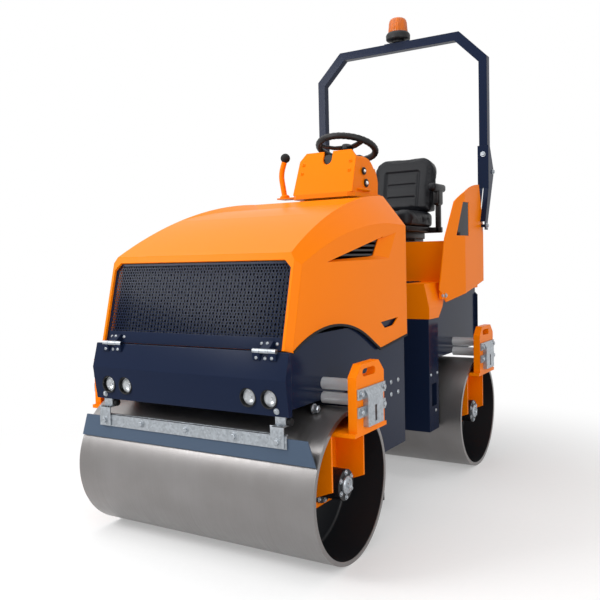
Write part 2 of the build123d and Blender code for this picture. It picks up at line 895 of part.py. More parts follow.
# Steering pivot: a yoke of two lugs on the front frame, a trunnion on the rear frame, one pin
pivot_y = front_axis_y + pivot_behind_front
with BuildPart() as yoke:
    for level in yoke_levels:
        block((-yoke_half, yoke_half), (tail_y, pivot_y), (level, level + yoke_lug))
        rod_z(0, pivot_y, (level, level + yoke_lug), yoke_half)
        rod_z(0, pivot_y, (level, level + yoke_lug), pin_radius + running_clearance, Mode.SUBTRACT)
save(yoke, "pivot_yoke")
with BuildPart() as pin:
    pin_low_z = yoke_levels[0] - pin_head
    pin_high_z = yoke_levels[1] + yoke_lug
    rod_z(0, pivot_y, (pin_low_z, pin_high_z), pin_radius)
    rod_z(0, pivot_y, (pin_low_z, yoke_levels[0]), pin_head_radius)
    rod_z(0, pivot_y, (pin_high_z, pin_high_z + pin_head), pin_head_radius)
save(pin, "pivot_pin")
column_y = rear_axis_y + column_front
with BuildPart() as trunnion:
    boss = (yoke_levels[0] + yoke_lug + trunnion_gap, yoke_levels[1] - trunnion_gap)
    block((-trunnion_half, trunnion_half), (pivot_y, column_y), boss)
    rod_z(0, pivot_y, boss, trunnion_half)
    rod_z(0, pivot_y, boss, pin_radius + running_clearance, Mode.SUBTRACT)
save(trunnion, "pivot_trunnion")

# Rear frame: a hanging column ahead of the drum, side plates, deck and tail plate
back_y = rear_axis_y + column_back
end_y = rear_axis_y + rear_tail
with BuildPart() as rear_frame:
    block((-column_half, column_half), (column_y, back_y), (column_low_z, column_top_z))
    for _, side in sides:
        block(
            span(side, column_half - column_window_depth, column_half),
            (rear_axis_y + column_window[0], rear_axis_y + column_window[1]),
            column_window[2:],
            Mode.SUBTRACT,
        )
    for _, side in sides:
        slab(
            span(side, rear_plate_x - plate, rear_plate_x),
            (
                (back_y, deck_z),
                (end_y, deck_z),
                (end_y, rear_top_z),
                (rear_axis_y + box_front, rear_top_z),
                (back_y, column_top_z),
            ),
        )
    across = (-rear_plate_x, rear_plate_x)
    block(across, (back_y, end_y), (deck_z, deck_z + plate))
    block(across, (end_y - plate, end_y), (deck_z, rear_top_z))
save(rear_frame, "rear_frame")

# Rear panel with a lamp at each end
with BuildPart() as rear_panel:
    block(
        (-rear_panel_half, rear_panel_half),
        (end_y, end_y + chin_sheet),
        (rear_panel_low_z, rear_panel_top_z),
    )
    chamfer(rear_panel.edges().filter_by(Axis.Y), rear_panel_corner)
save(rear_panel, "rear_panel")
with BuildPart() as rear_lamps:
    for lamp_x, lamp_z in rear_lamp_places:
        block(
            (lamp_x - rear_lamp_size[0] / 2, lamp_x + rear_lamp_size[0] / 2),
            (end_y + chin_sheet, end_y + chin_sheet + rear_lamp_depth),
            (lamp_z - rear_lamp_size[1] / 2, lamp_z + rear_lamp_size[1] / 2),
        )
save(rear_lamps, "rear_lamps")

# Operator platform: a folded step with its outer edges dropped, and the seat box behind it
platform_y = rear_axis_y + platform_front
box_y = rear_axis_y + box_front
box_end_y = rear_axis_y + box_back
with BuildPart() as platform:
    slab(
        (-platform_half, platform_half),
        (
            (platform_y, column_top_z),
            (back_y, column_top_z),
            (box_y, rear_top_z),
            (box_y, platform_floor_z),
            (platform_y, platform_floor_z),
        ),
    )
    edges = platform.edges().filter_by(Axis.Y).group_by(Axis.Z)[-1]
    chamfer(edges, length=platform_drop_z, length2=platform_drop_x)
save(platform, "platform")
with BuildPart() as seat_box:
    block((-box_half, box_half), (box_y, box_end_y), (rear_top_z, box_top_z))
    fillet(seat_box.edges().filter_by(Axis.Z), box_corner)
save(seat_box, "seat_box")

# Console: pillar, deck with a lever bracket, and a sheet housing with a curved tray on top
with BuildPart() as pillar:
    slab(
        (-pillar_half, pillar_half),
        (
            rear((pillar_foot, platform_floor_z)),
            rear((pillar_back, platform_floor_z)),
            rear((pillar_back, deck_low_z)),
            rear((pillar_front, deck_low_z)),
            rear((pillar_front, deck_low_z - pillar_brow)),
            rear((pillar_foot, deck_low_z - pillar_neck)),
        ),
    )
save(pillar, "console_pillar")
console_low_z = deck_low_z + deck_sheet
with BuildPart() as deck:
    block(
        (-deck_half, deck_half),
        (rear_axis_y + deck_front, rear_axis_y + deck_back),
        (deck_low_z, console_low_z),
    )
    chamfer(deck.edges().filter_by(Axis.Z), deck_corner)
    block(
        (-lever_bracket_out, -deck_half + deck_sheet),
        (rear_axis_y + lever_y - lever_bracket_half, rear_axis_y + lever_y + lever_bracket_half),
        (console_low_z - lever_bracket, console_low_z),
    )
save(deck, "console_deck")
front_y, front_z = rear(console_front_top)
with BuildPart() as console:
    with BuildSketch(Plane.YZ.offset(-console_low_half)) as side_view:
        with BuildLine():
            ThreePointArc(rear(console_top_back), rear(console_bend), rear(console_back))
            Polyline(
                rear(console_back),
                rear((console_back_low, console_low_z)),
                rear((console_front_low, console_low_z)),
                (front_y, front_z),
                rear(console_top_back),
            )
        make_face()
    extrude(side_view.sketch, amount=2 * console_low_half)
    with BuildSketch(Plane.YZ.offset(-console_low_half + console_sheet)) as tray:
        with BuildLine():
            curve = map(rear, (console_top_back, console_bend, console_back))
            start, bend, end = ((y, z - console_tray) for y, z in curve)
            ThreePointArc(start, bend, (end[0] - console_tray, end[1]))
            Polyline(
                (end[0] - console_tray, end[1]),
                (end[0] - console_tray, 2 * front_z),
                (front_y + console_sheet, 2 * front_z),
                (front_y + console_sheet, start[1]),
                start,
            )
        make_face()
    extrude(tray.sketch, amount=2 * (console_low_half - console_sheet), mode=Mode.SUBTRACT)
    with BuildSketch(Plane.XZ.offset(-rear_axis_y - console_front_low)) as front_view:
        with BuildLine():
            Polyline(
                (-console_low_half, console_low_z),
                (-console_brow_half, console_brow_z),
                (-console_top_half, front_z),
                (console_top_half, front_z),
                (console_brow_half, console_brow_z),
                (console_low_half, console_low_z),
                close=True,
            )
        make_face()
        with Locations((0, (notch_z + 2 * front_z) / 2)):
            Rectangle(2 * notch_radius, 2 * front_z - notch_z, mode=Mode.SUBTRACT)
        with Locations((0, notch_z)):
            Circle(notch_radius, mode=Mode.SUBTRACT)
    depth = console_back_low - console_front_low + notch_radius
    extrude(front_view.sketch, dir=(0, 1, 0), amount=depth, mode=Mode.INTERSECT)
save(console, "console")

# Steering column: a tube lying in the console's notch and a neck up to the wheel
wheel_y, wheel_z = rear(wheel_centre)
wheel_lean = radians(wheel_tilt)
wheel_plane = Plane((0, wheel_y, wheel_z), x_dir=(1, 0, 0), z_dir=(0, sin(wheel_lean), cos(wheel_lean)))
with BuildPart() as column:
    rod((0, rear_axis_y + column_nose, notch_z), (0, rear_axis_y + column_heel, notch_z), column_radius)
    with BuildSketch(wheel_plane.offset(-wheel_hub_height / 2 - seat_gap)) as neck:
        Circle(column_radius)
    extrude(neck.sketch, amount=-column_reach)
    add(console.part, mode=Mode.SUBTRACT)
save(column, "steering_column")

# Steering wheel: a rim of flats turned about the hub, on three spokes
with BuildPart() as flat_wheel:
    with BuildSketch(Plane.XZ) as rim:
        with Locations((wheel_radius - wheel_rim, 0)):
            RegularPolygon(wheel_rim, wheel_rim_sides)
    revolve(rim.sketch, axis=Axis.Z)
    Cylinder(wheel_hub_radius, wheel_hub_height)
    with PolarLocations(0, 3, start_angle=30):
        with Locations(((wheel_radius - wheel_rim) / 2, 0, 0)):
            Box(wheel_radius - wheel_rim, wheel_spoke, wheel_rim)
with BuildPart() as wheel:
    add(flat_wheel.part.moved(wheel_plane.location))
save(wheel, "steering_wheel")

# Drive lever: a bent rod on the deck's bracket with a knob
foot, bend, top = ((x, rear_axis_y + lever_y, z) for x, z in lever_points)
with BuildPart() as lever:
    rod(foot, bend, lever_radius)
    rod(bend, top, lever_radius)
    rod(Vector(top) + (Vector(bend) - Vector(top)) * lever_knob_share, top, lever_knob_radius)
    knob = lever.edges().filter_by(GeomType.CIRCLE).group_by(SortBy.RADIUS)[-1]
    chamfer(knob, lever_knob_edge)
    add(deck.part, mode=Mode.SUBTRACT)
save(lever, "drive_lever")

# Seat: rails, base and armrests, then cushion and back
cushion_y = (rear_axis_y + cushion_front, rear_axis_y + cushion_back)
cushion_top_z = seat_base_top_z + cushion_thick
with BuildPart() as seat_base:
    for end in (-1, 1):
        rail = seat_x + end * rail_x
        block((rail - rail_half, rail + rail_half), cushion_y, (box_top_z, box_top_z + rail_height))
        inner = seat_half + armrest_gap
        strut = [seat_x + x for x in span(end, inner, inner + armrest_width)]
        strut_y = (cushion_y[1] - 2 * armrest_strut, cushion_y[1] - armrest_strut)
        arm_z = seat_base_top_z + armrest_rise
        block(strut, strut_y, (seat_base_top_z - armrest_strut, arm_z))
        block(strut, (cushion_y[1] - armrest_length, cushion_y[1]), (arm_z, arm_z + armrest_thick))
        link = [seat_x + x for x in span(end, 0, inner + armrest_width)]
        block(link, strut_y, (seat_base_top_z - armrest_strut, seat_base_top_z))
    block(
        (seat_x - seat_base_half, seat_x + seat_base_half),
        (cushion_y[0] + seat_base_inset, cushion_y[1] - seat_base_inset),
        (box_top_z + rail_height, seat_base_top_z),
    )
save(seat_base, "seat_base")
with BuildPart() as cushion:
    with BuildSketch(Plane.XY.offset(seat_base_top_z)) as squab:
        with Locations((seat_x, sum(cushion_y) / 2)):
            RectangleRounded(2 * seat_half, cushion_y[1] - cushion_y[0], seat_corner)
    extrude(squab.sketch, amount=cushion_thick)
    chamfer(cushion.edges().group_by(Axis.Z)[-1], seat_edge)
save(cushion, "seat_cushion")
with BuildPart() as seat_back:
    lean_back = radians(back_lean)
    back_face = Plane(
        (seat_x, cushion_y[1] - back_thick, cushion_top_z),
        x_dir=(1, 0, 0),
        z_dir=(0, -cos(lean_back), sin(lean_back)),
    )
    with BuildSketch(back_face) as rest:
        with Locations((0, back_height / 2)):
            Rectangle(2 * seat_half, back_height)
        fillet(rest.vertices().group_by(Axis.Y)[-1], back_corner)
    extrude(rest.sketch, amount=-back_thick)
    block(
        (seat_x - seat_half, seat_x + seat_half),
        (cushion_y[0], cushion_y[1] + back_thick),
        (seat_base_top_z, cushion_top_z),
        Mode.SUBTRACT,
    )
save(seat_back, "seat_back")

# Roll-over supports: a sheet bent inward ahead of a crease, with a grip slot, a rear flange and a foot pad
pad_x = support_x - (support_crease - support_pad_y[1]) * tan(radians(support_bend)) - support_sheet
for name, side in sides:
    with BuildPart() as support:
        rear_y = rear_axis_y + support_rear[0]
        crease_y = rear_axis_y + support_crease
        front_y = rear_axis_y + support_foot[1][0] - support_sheet
        bent_x = support_x - (crease_y - front_y) * tan(radians(support_bend))
        with BuildSketch() as plan:
            with BuildLine():
                Polyline(
                    (side * support_x, rear_y),
                    (side * support_x, crease_y),
                    (side * bent_x, front_y),
                    (side * (bent_x - support_sheet), front_y),
                    (side * (support_x - support_sheet), crease_y),
                    (side * (support_x - support_sheet), rear_y),
                    close=True,
                )
            make_face()
        extrude(plan.sketch, amount=2 * support_top[1])
        with BuildSketch(Plane.YZ.offset(-2 * support_x)) as outline:
            with BuildLine():
                Polyline(*map(rear, (support_top, support_heel, support_rear) + support_foot))
                ThreePointArc(rear(support_foot[-1]), rear(support_brow), rear(support_top))
            make_face()
        extrude(outline.sketch, amount=4 * support_x, mode=Mode.INTERSECT)
        slab(span(side, 0, 2 * support_x), [rear(corner) for corner in support_slot], Mode.SUBTRACT)
        tail_y, tail_z = rear(tail_pin)
        tail_hole = tail_pin_radius + running_clearance
        rod_x(span(side, 0, 2 * support_x), tail_y, tail_z, tail_hole, Mode.SUBTRACT)
        block(
            span(side, box_half, support_x),
            (rear_y - support_sheet, rear_y),
            (support_rear[1], support_flange_top_z),
        )
        block(
            span(side, platform_half, pad_x),
            [rear_axis_y + y for y in support_pad_y],
            support_pad_z,
        )
    save(support, f"rops_support_{name}")

# Sleeves: each a folded bracket around the post's stub, its tail pinned to the support, with fold lugs
for_post = (hoop_half - hoop_seat, hoop_half)
post_y = rear_axis_y + hoop_front
fold_y = post_y + fold_behind_hoop
tail_y, tail_z = rear(tail_pin)
with BuildPart() as sleeves:
    for _, side in sides:
        front_face = post_y - sleeve_sheet
        both_cheeks = span(side, for_post[0] - sleeve_sheet, for_post[1] + sleeve_sheet)
        block(both_cheeks, (front_face, post_y), (sleeve_low_z, sleeve_top_z))
        for inner_x in (for_post[0] - sleeve_sheet, for_post[1]):
            cheek = (inner_x, inner_x + sleeve_sheet)
            slab(
                span(side, *cheek),
                (
                    (front_face, sleeve_top_z),
                    (front_face, sleeve_low_z),
                    (tail_y - tail_half, tail_z + tail_half),
                    (tail_y - tail_half, tail_z - tail_half),
                    (tail_y + tail_half, tail_z - tail_half),
                    (tail_y + tail_half, tail_z + tail_half),
                    (fold_y + fold_lug_radius, fold_z - fold_lug_radius),
                    (fold_y + fold_lug_radius, fold_z + fold_lug_radius),
                    (post_y + sleeve_top_depth, sleeve_top_z),
                ),
            )
        rod_x(both_cheeks, fold_y, fold_z, fold_pin_radius)
        rod_x(both_cheeks, tail_y, tail_z, tail_pin_radius)
        seat_z = (sleeve_low_z, hoop_joint_z - hoop_joint_gap)
        block(span(side, *for_post), (post_y, post_y + hoop_seat), seat_z)
save(sleeves, "rops_sleeves")

# Hoop: a square tube bent over the seat with mitred corners, folding back on its lugs
with BuildPart() as hoop:
    margin = (hoop_seat - hoop_tube) / 2
    outer = hoop_half - margin
    inner = outer - hoop_tube
    cut = hoop_chamfer - hoop_tube * tan(radians(22.5))
    with BuildSketch(Plane.XZ.offset(-post_y - margin)) as bow:
        with BuildLine():
            Polyline(
                (-outer, hoop_joint_z),
                (-outer, hoop_top_z - hoop_chamfer),
                (-outer + hoop_chamfer, hoop_top_z),
                (outer - hoop_chamfer, hoop_top_z),
                (outer, hoop_top_z - hoop_chamfer),
                (outer, hoop_joint_z),
                (inner, hoop_joint_z),
                (inner, hoop_top_z - hoop_tube - cut),
                (inner - cut, hoop_top_z - hoop_tube),
                (-inner + cut, hoop_top_z - hoop_tube),
                (-inner, hoop_top_z - hoop_tube - cut),
                (-inner, hoop_joint_z),
                close=True,
            )
        make_face()
    extrude(bow.sketch, dir=(0, 1, 0), amount=hoop_tube)
    block(
        (-hoop_saddle_half, hoop_saddle_half),
        (post_y + margin, post_y + margin + hoop_tube),
        (hoop_top_z, hoop_top_z + hoop_saddle),
    )
    for _, side in sides:
        middle = hoop_half - hoop_seat / 2
        lug = span(side, middle - fold_lug_half, middle + fold_lug_half)
        slab(
            lug,
            (
                (post_y + margin + hoop_tube, hoop_joint_z + 3 * fold_lug_radius),
                (post_y + margin + hoop_tube, hoop_joint_z),
                (fold_y - fold_lug_radius, hoop_joint_z),
                (fold_y - fold_lug_radius, fold_z),
                (fold_y + fold_lug_radius, fold_z),
            ),
        )
        rod_x(lug, fold_y, fold_z, fold_lug_radius)
        rod_x(lug, fold_y, fold_z, fold_pin_radius + running_clearance, Mode.SUBTRACT)
save(hoop, "rops_hoop")

# Beacon: a stem and base on the hoop's saddle, a stepped lens on the base
beacon_y = post_y + hoop_seat / 2
saddle_z = hoop_top_z + hoop_saddle
with BuildPart() as beacon_foot:
    rod_z(0, beacon_y, (saddle_z, saddle_z + beacon_stem), beacon_stem_radius)
    rod_z(0, beacon_y, (saddle_z + beacon_stem, saddle_z + beacon_base), beacon_base_radius)
save(beacon_foot, "beacon_base")
with BuildPart() as flat_lens:
    with BuildSketch(Plane.XZ) as half_lens:
        with BuildLine():
            Polyline((0, 0), *beacon_profile, (0, beacon_profile[-1][1]), close=True)
        make_face()
    revolve(half_lens.sketch, axis=Axis.Z)
with BuildPart() as beacon_lens:
    add(flat_lens.part.moved(Location((0, beacon_y, saddle_z + beacon_base))))
save(beacon_lens, "beacon_lens")
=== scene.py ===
"""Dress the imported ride-on tandem roller: finishes, fittings, soft seat, camera and stage.

Fittings are drawn in millimetres, and place_piece scales them to metres.
"""

import json
import math

import bmesh
import bpy
from bpy.props import FloatProperty, FloatVectorProperty, IntProperty, PointerProperty
from bpy.types import NodeSocket, Operator, Panel, PropertyGroup
from mathutils import Matrix, Vector


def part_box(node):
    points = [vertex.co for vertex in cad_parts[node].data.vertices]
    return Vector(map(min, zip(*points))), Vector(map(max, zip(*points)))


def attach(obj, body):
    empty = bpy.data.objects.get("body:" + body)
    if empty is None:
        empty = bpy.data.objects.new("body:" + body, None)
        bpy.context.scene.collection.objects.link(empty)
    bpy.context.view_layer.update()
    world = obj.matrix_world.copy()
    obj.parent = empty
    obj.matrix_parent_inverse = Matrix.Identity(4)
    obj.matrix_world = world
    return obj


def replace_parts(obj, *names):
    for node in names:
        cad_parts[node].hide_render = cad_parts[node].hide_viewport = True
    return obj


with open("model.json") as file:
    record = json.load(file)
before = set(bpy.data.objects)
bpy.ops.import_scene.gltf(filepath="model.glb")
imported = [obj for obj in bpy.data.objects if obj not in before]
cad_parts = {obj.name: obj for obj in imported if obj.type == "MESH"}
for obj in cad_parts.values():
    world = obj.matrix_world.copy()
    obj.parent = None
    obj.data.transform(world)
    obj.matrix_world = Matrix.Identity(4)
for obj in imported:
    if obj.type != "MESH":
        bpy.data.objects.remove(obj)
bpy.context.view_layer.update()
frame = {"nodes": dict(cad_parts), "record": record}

bl_info = {
    "name": "Tandem roller dressing",
    "version": (1, 0, 0),
    "blender": (4, 5, 0),
    "location": "3D View > Sidebar > Roller",
    "description": "Gives the packed tandem roller its finishes, fittings, soft seat and studio stage",
    "category": "Object",
}

MM = 0.001
SIDES = (1, -1)
BACKWARDS = (0, 1, 0)
FORWARDS = (0, -1, 0)
UP = (0, 0, 1)
LEFT = (1, 0, 0)


def in_mm(corners):
    """Give the two corners of a CAD box in millimetres."""
    return [corner / MM for corner in corners]


# Axle lines and shared faces in millimetres, read from the frame
FRONT_Y = sum(corner.y for corner in in_mm(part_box("front_drum"))) / 2
REAR_Y = sum(corner.y for corner in in_mm(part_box("rear_drum"))) / 2
AXLE_Z = sum(corner.z for corner in in_mm(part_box("front_drum"))) / 2
FRONT_PLATE_X = in_mm(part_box("front_frame"))[1].x
HOOD_X = in_mm(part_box("hood"))[1].x
COLUMN_X = in_mm(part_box("rear_frame"))[1].x
FRONT_ARM_X = in_mm(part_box("front_arm_left"))[1].x
REAR_ARM_X = in_mm(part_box("rear_arm_left"))[1].x
HUB_X = in_mm(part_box("front_hubs"))[1].x
POST_Y = REAR_Y + 287

# Slanted faces of the nose: a start in millimetres, a unit run along the slant and a unit normal
MASK_FOOT = Vector((0, FRONT_Y - 268, 862))
MASK_RUN = Vector((0, 92, 363)).normalized()
MASK_OUT = Vector((0, -363, 92)).normalized()
MASK_RECESS = 12
CHIN_TOP = Vector((0, FRONT_Y - 275, 858))
CHIN_RUN = Vector((0, -29, -101)).normalized()
CHIN_OUT = Vector((0, -101, 29)).normalized()
CHIN_CREASE = Vector((0, FRONT_Y - 304, 757))
CHIN_LOW_RUN = Vector((0, 20, -137)).normalized()
CHIN_LOW_OUT = Vector((0, -137, -20)).normalized()

# Hood hinges: middle of each, and the axis that their knuckles lie on
HINGE_XS = (-391, 391)
HINGE_Y, HINGE_Z = FRONT_Y - 284, 861


def linear(code):
    """Turn an sRGB hex colour into linear red, green, blue and alpha."""
    parts = [int(code[i : i + 2], 16) / 255 for i in (1, 3, 5)]
    return (*(c / 12.92 if c <= 0.04045 else ((c + 0.055) / 1.055) ** 2.4 for c in parts), 1.0)


def colour(name, description, code):
    """Declare one colour a user may change."""
    return FloatVectorProperty(
        name=name, description=description, subtype="COLOR", size=4, min=0, max=1, default=linear(code)
    )


def length(name, description, millimetres):
    """Declare one size a user may change."""
    return FloatProperty(
        name=name, description=description, unit="LENGTH", min=0, precision=4, default=millimetres * MM
    )


class RollerColours(PropertyGroup):
    """Colours of the roller's finishes."""

    orange: colour("Orange enamel", "Hood, arms, platform and console", "#FB8000")
    navy: colour("Navy enamel", "Frames, chin and roll-over hoop", "#172138")
    slate: colour("Slate enamel", "Scraper blade", "#46566A")
    steel: colour("Ground steel", "Drum shells", "#908E8E")
    zinc: colour("Zinc plate", "Brackets, clamps and bolts", "#AEB4BA")
    chrome: colour("Hard chrome", "Slide tubes and lamp reflectors", "#EEF0F2")
    cast: colour("Cast iron paint", "Hub motors and engine", "#14161A")
    plastic: colour("Black plastic", "Dash, column, wheel and vents", "#151618")
    rubber: colour("Black rubber", "Flap, mat and edge trim", "#18181A")
    vinyl: colour("Black vinyl", "Seat cover", "#15171C")
    amber: colour("Amber lens", "Beacon", "#E57200")
    red: colour("Red lens", "Rear lamps", "#A01010")


class RollerSizes(PropertyGroup):
    """Sizes of the fittings that the dressing adds."""

    bolt: length("Bolt head", "Radius of a clamp or bracket bolt's head", 11)
    screw: length("Screw head", "Radius of a panel screw's head", 7)
    web: length("Grille web", "Width of the metal between the grille's holes", 4)
    pitch: length("Grille pitch", "Spacing of the grille's holes", 14)
    trim: length("Edge trim", "Width of the rubber edge along the hood", 8)
    voxel: length("Pad voxel", "Grid size the seat pads are remeshed at", 6)
    swell: length("Pad swell", "How far a point of a pad may swell", 9)
    frames: IntProperty(name="Pad frames", description="Frames of the pad simulation", default=16, min=2)


def colours():
    """Give the colours in use."""
    return bpy.context.scene.roller_colours


def sizes():
    """Give the sizes in use, in metres."""
    return bpy.context.scene.roller_sizes


def size_mm(name):
    """Give one of the sizes in use in millimetres."""
    return getattr(sizes(), name) / MM


def add_node(owner, kind, inputs=None, **settings):
    """Add a shader node, set its attributes, and set or link its inputs."""
    node = owner.node_tree.nodes.new("ShaderNode" + kind)
    for key, value in settings.items():
        setattr(node, key, value)
    for key, value in (inputs or {}).items():
        socket = next(s for s in node.inputs if key in (s.identifier, s.name))
        if isinstance(value, NodeSocket):
            owner.node_tree.links.new(value, socket)
        else:
            socket.default_value = value
    return node


def start_material(name):
    """Make an empty material, and give it with its object coordinates."""
    material = bpy.data.materials.new(name)
    material.use_nodes = True
    material.node_tree.nodes.clear()
    return material, add_node(material, "TexCoord").outputs["Object"]


def end_material(material, inputs):
    """Close a material with the principled shader."""
    shader = add_node(material, "BsdfPrincipled", inputs)
    add_node(material, "OutputMaterial", {"Surface": shader.outputs[0]})
    return material


def tones(factor, tint, share):
    """Give the inputs that mix a tint, cut to a share of its light, with the tint itself."""
    return {"Factor": factor, "A_Color": [c * share for c in tint[:3]] + [1.0], "B_Color": tint[:]}


def enamel(name, tint, peel_mm, gloss, shine):
    """Sprayed enamel on sheet steel: even colour, faint orange peel, edges that catch the light."""
    material, place = start_material(name)
    drift = add_node(material, "TexNoise", {"Vector": place, "Scale": 1 / (400 * MM), "Detail": 2.0})
    shade = add_node(material, "Mix", tones(drift.outputs["Fac"], tint, 0.96), data_type="RGBA")
    peel = add_node(material, "TexNoise", {"Vector": place, "Scale": 1 / (peel_mm * MM), "Detail": 1.0})
    edge = add_node(material, "Bevel", {"Radius": 3.5 * MM}, samples=4).outputs["Normal"]
    dimples = {"Height": peel.outputs["Fac"], "Strength": 0.03, "Distance": MM, "Normal": edge}
    spread = {"Value": drift.outputs["Fac"], "To Min": gloss, "To Max": gloss + 0.06}
    look = {
        "Base Color": shade.outputs[2],
        "Roughness": add_node(material, "MapRange", spread).outputs["Result"],
        "Normal": add_node(material, "Bump", dimples).outputs["Normal"],
        "Specular IOR Level": shine,
    }
    return end_material(material, look)


def ground_steel():
    """Rolled plate ground round its girth: fine rings across the face, a satin sheen, rusty-grey clouds."""
    material, place = start_material("Ground rolled steel")
    # Real grinding rings are about 0.3 mm apart; drawn 4 mm apart so that they show
    rings = add_node(material, "Mapping", {"Vector": place, "Scale": (1.0, 0.02, 0.02)}).outputs["Vector"]
    grain = add_node(material, "TexNoise", {"Vector": rings, "Scale": 1 / (4 * MM), "Detail": 3.0})
    cloud = add_node(material, "TexNoise", {"Vector": place, "Scale": 1 / (180 * MM), "Detail": 4.0})
    tint = colours().steel
    deep = [tint[0] * 0.72, tint[1] * 0.7, tint[2] * 0.68, 1.0]
    clouds = {"Factor": cloud.outputs["Fac"], "A_Color": deep, "B_Color": tint[:]}
    fine = {"Value": grain.outputs["Fac"], "From Min": 0.3, "From Max": 0.7, "To Min": 0.3, "To Max": 0.44}
    scratch = {"Height": grain.outputs["Fac"], "Strength": 0.12, "Distance": 0.4 * MM}
    look = {
        "Base Color": add_node(material, "Mix", clouds, data_type="RGBA").outputs[2],
        "Metallic": 0.9,
        "Roughness": add_node(material, "MapRange", fine).outputs["Result"],
        "Normal": add_node(material, "Bump", scratch).outputs["Normal"],
    }
    return end_material(material, look)


def zinc_plate():
    """Galvanised steel: pale grey with leaf-like spangle of several millimetres and a dull shine."""
    material, place = start_material("Galvanised zinc")
    spangle = add_node(material, "TexVoronoi", {"Vector": place, "Scale": 1 / (9 * MM), "Randomness": 1.0})
    level = add_node(material, "SeparateColor", {"Color": spangle.outputs["Color"]})
    shade = add_node(material, "Mix", tones(level.outputs["Red"], colours().zinc, 0.72), data_type="RGBA")
    dull = {"Value": level.outputs["Green"], "To Min": 0.3, "To Max": 0.5}
    look = {
        "Base Color": shade.outputs[2],
        "Metallic": 0.85,
        "Roughness": add_node(material, "MapRange", dull).outputs["Result"],
        "Normal": add_node(material, "Bevel", {"Radius": 1.5 * MM}, samples=4).outputs["Normal"],
    }
    return end_material(material, look)


def hard_chrome():
    """Hard chrome on turned bar: pale and satin, with turning lines across its shine."""
    material, place = start_material("Hard chrome")
    # Real turning lines are under 0.1 mm apart; drawn 12 mm apart, because finer ones speckle
    lines = add_node(material, "Mapping", {"Vector": place, "Scale": (1.0, 0.03, 0.03)}).outputs["Vector"]
    turned = add_node(material, "TexNoise", {"Vector": lines, "Scale": 1 / (12 * MM)})
    dull = {"Value": turned.outputs["Fac"], "To Min": 0.16, "To Max": 0.24}
    look = {
        "Base Color": colours().chrome[:],
        "Metallic": 0.4,
        "Roughness": add_node(material, "MapRange", dull).outputs["Result"],
    }
    return end_material(material, look)


def moulded(name, tint, grain_mm, depth, rough, shine):
    """Moulded or cast black surface: matt, with a fine even grain pressed into it."""
    material, place = start_material(name)
    noise = add_node(material, "TexNoise", {"Vector": place, "Scale": 1 / (grain_mm * MM), "Detail": 3.0})
    grain = noise.outputs["Fac"]
    edge = add_node(material, "Bevel", {"Radius": 2 * MM}, samples=4).outputs["Normal"]
    pressed = {"Height": grain, "Strength": depth, "Distance": 0.5 * MM, "Normal": edge}
    dull = {"Value": grain, "To Min": rough - 0.08, "To Max": rough + 0.08}
    look = {
        "Base Color": add_node(material, "Mix", tones(grain, tint, 0.7), data_type="RGBA").outputs[2],
        "Roughness": add_node(material, "MapRange", dull).outputs["Result"],
        "Normal": add_node(material, "Bump", pressed).outputs["Normal"],
        "Specular IOR Level": shine,
    }
    return end_material(material, look)


def grained_vinyl_crease_shade():
    """Seat vinyl: cells of leather grain a few millimetres wide, with painted shade darkening the creases
    between them so that the crowns look lit, and a soft sheen.
    """
    material, place = start_material("Grained vinyl with painted crease shade")
    scale = {"Vector": place, "Scale": 1 / (4 * MM)}
    cells = add_node(material, "TexVoronoi", scale, feature="DISTANCE_TO_EDGE").outputs["Distance"]
    crease = add_node(material, "MapRange", {"Value": cells, "From Max": 0.16}).outputs["Result"]
    # Painted shade: the grain's creases get a darker colour than its crowns
    shade = add_node(material, "Mix", tones(crease, colours().vinyl, 0.55), data_type="RGBA")
    bump = add_node(material, "Bump", {"Height": crease, "Strength": 0.25, "Distance": 0.5 * MM})
    look = {
        "Base Color": shade.outputs[2],
        "Roughness": 0.4,
        "Normal": bump.outputs["Normal"],
        "Specular IOR Level": 0.2,
    }
    return end_material(material, look)


def clear_lens(name, tint, flute_mm, transmission, rough, shine):
    """Moulded lens: tinted see-through plastic or glass with fine optic flutes inside."""
    material, place = start_material(name)
    # A wave runs 20 radians in a unit of its scale, so a flute is drawn 2 pi times as wide, and shows
    scale = {"Vector": place, "Scale": 1 / (flute_mm * MM) / 20}
    flutes = add_node(material, "TexWave", scale, bands_direction="X").outputs["Fac"]
    bump = add_node(material, "Bump", {"Height": flutes, "Strength": 0.3, "Distance": MM})
    look = {
        "Base Color": add_node(material, "Mix", tones(flutes, tint, 0.8), data_type="RGBA").outputs[2],
        "Roughness": rough,
        "IOR": 1.5,
        "Transmission Weight": transmission,
        "Specular IOR Level": shine,
        "Normal": bump.outputs["Normal"],
    }
    return end_material(material, look)


FINISHES = {
    "orange_paint": lambda: enamel("Orange gloss enamel", colours().orange, 5, 0.3, 0.06),
    "navy_paint": lambda: enamel("Navy gloss enamel", colours().navy, 5, 0.12, 0.07),
    "slate_paint": lambda: enamel("Slate satin enamel", colours().slate, 4, 0.42, 0.2),
    "drum_steel": ground_steel,
    "zinc": zinc_plate,
    "chrome": hard_chrome,
    "black_steel": lambda: moulded("Painted cast iron", colours().cast, 3, 0.5, 0.45, 0.3),
    "black_plastic": lambda: moulded("Textured black ABS", colours().plastic, 2, 0.25, 0.45, 0.3),
    "black_rubber": lambda: moulded("Moulded rubber", colours().rubber, 2.5, 0.3, 0.7, 0.25),
    "black_vinyl": grained_vinyl_crease_shade,
    "lamp_glass": lambda: clear_lens("Fluted lamp glass", linear("#F2F5F7"), 5, 0.9, 0.05, 0.5),
    "amber_lens": lambda: clear_lens("Amber polycarbonate", colours().amber, 5, 0.3, 0.15, 0.35),
    "red_lens": lambda: clear_lens("Red acrylic", colours().red, 4, 0.3, 0.14, 0.3),
}

made_finishes = {}


def finish(slot):
    """Give a slot's material, made once."""
    if slot not in made_finishes:
        made_finishes[slot] = FINISHES[slot]()
    return made_finishes[slot]


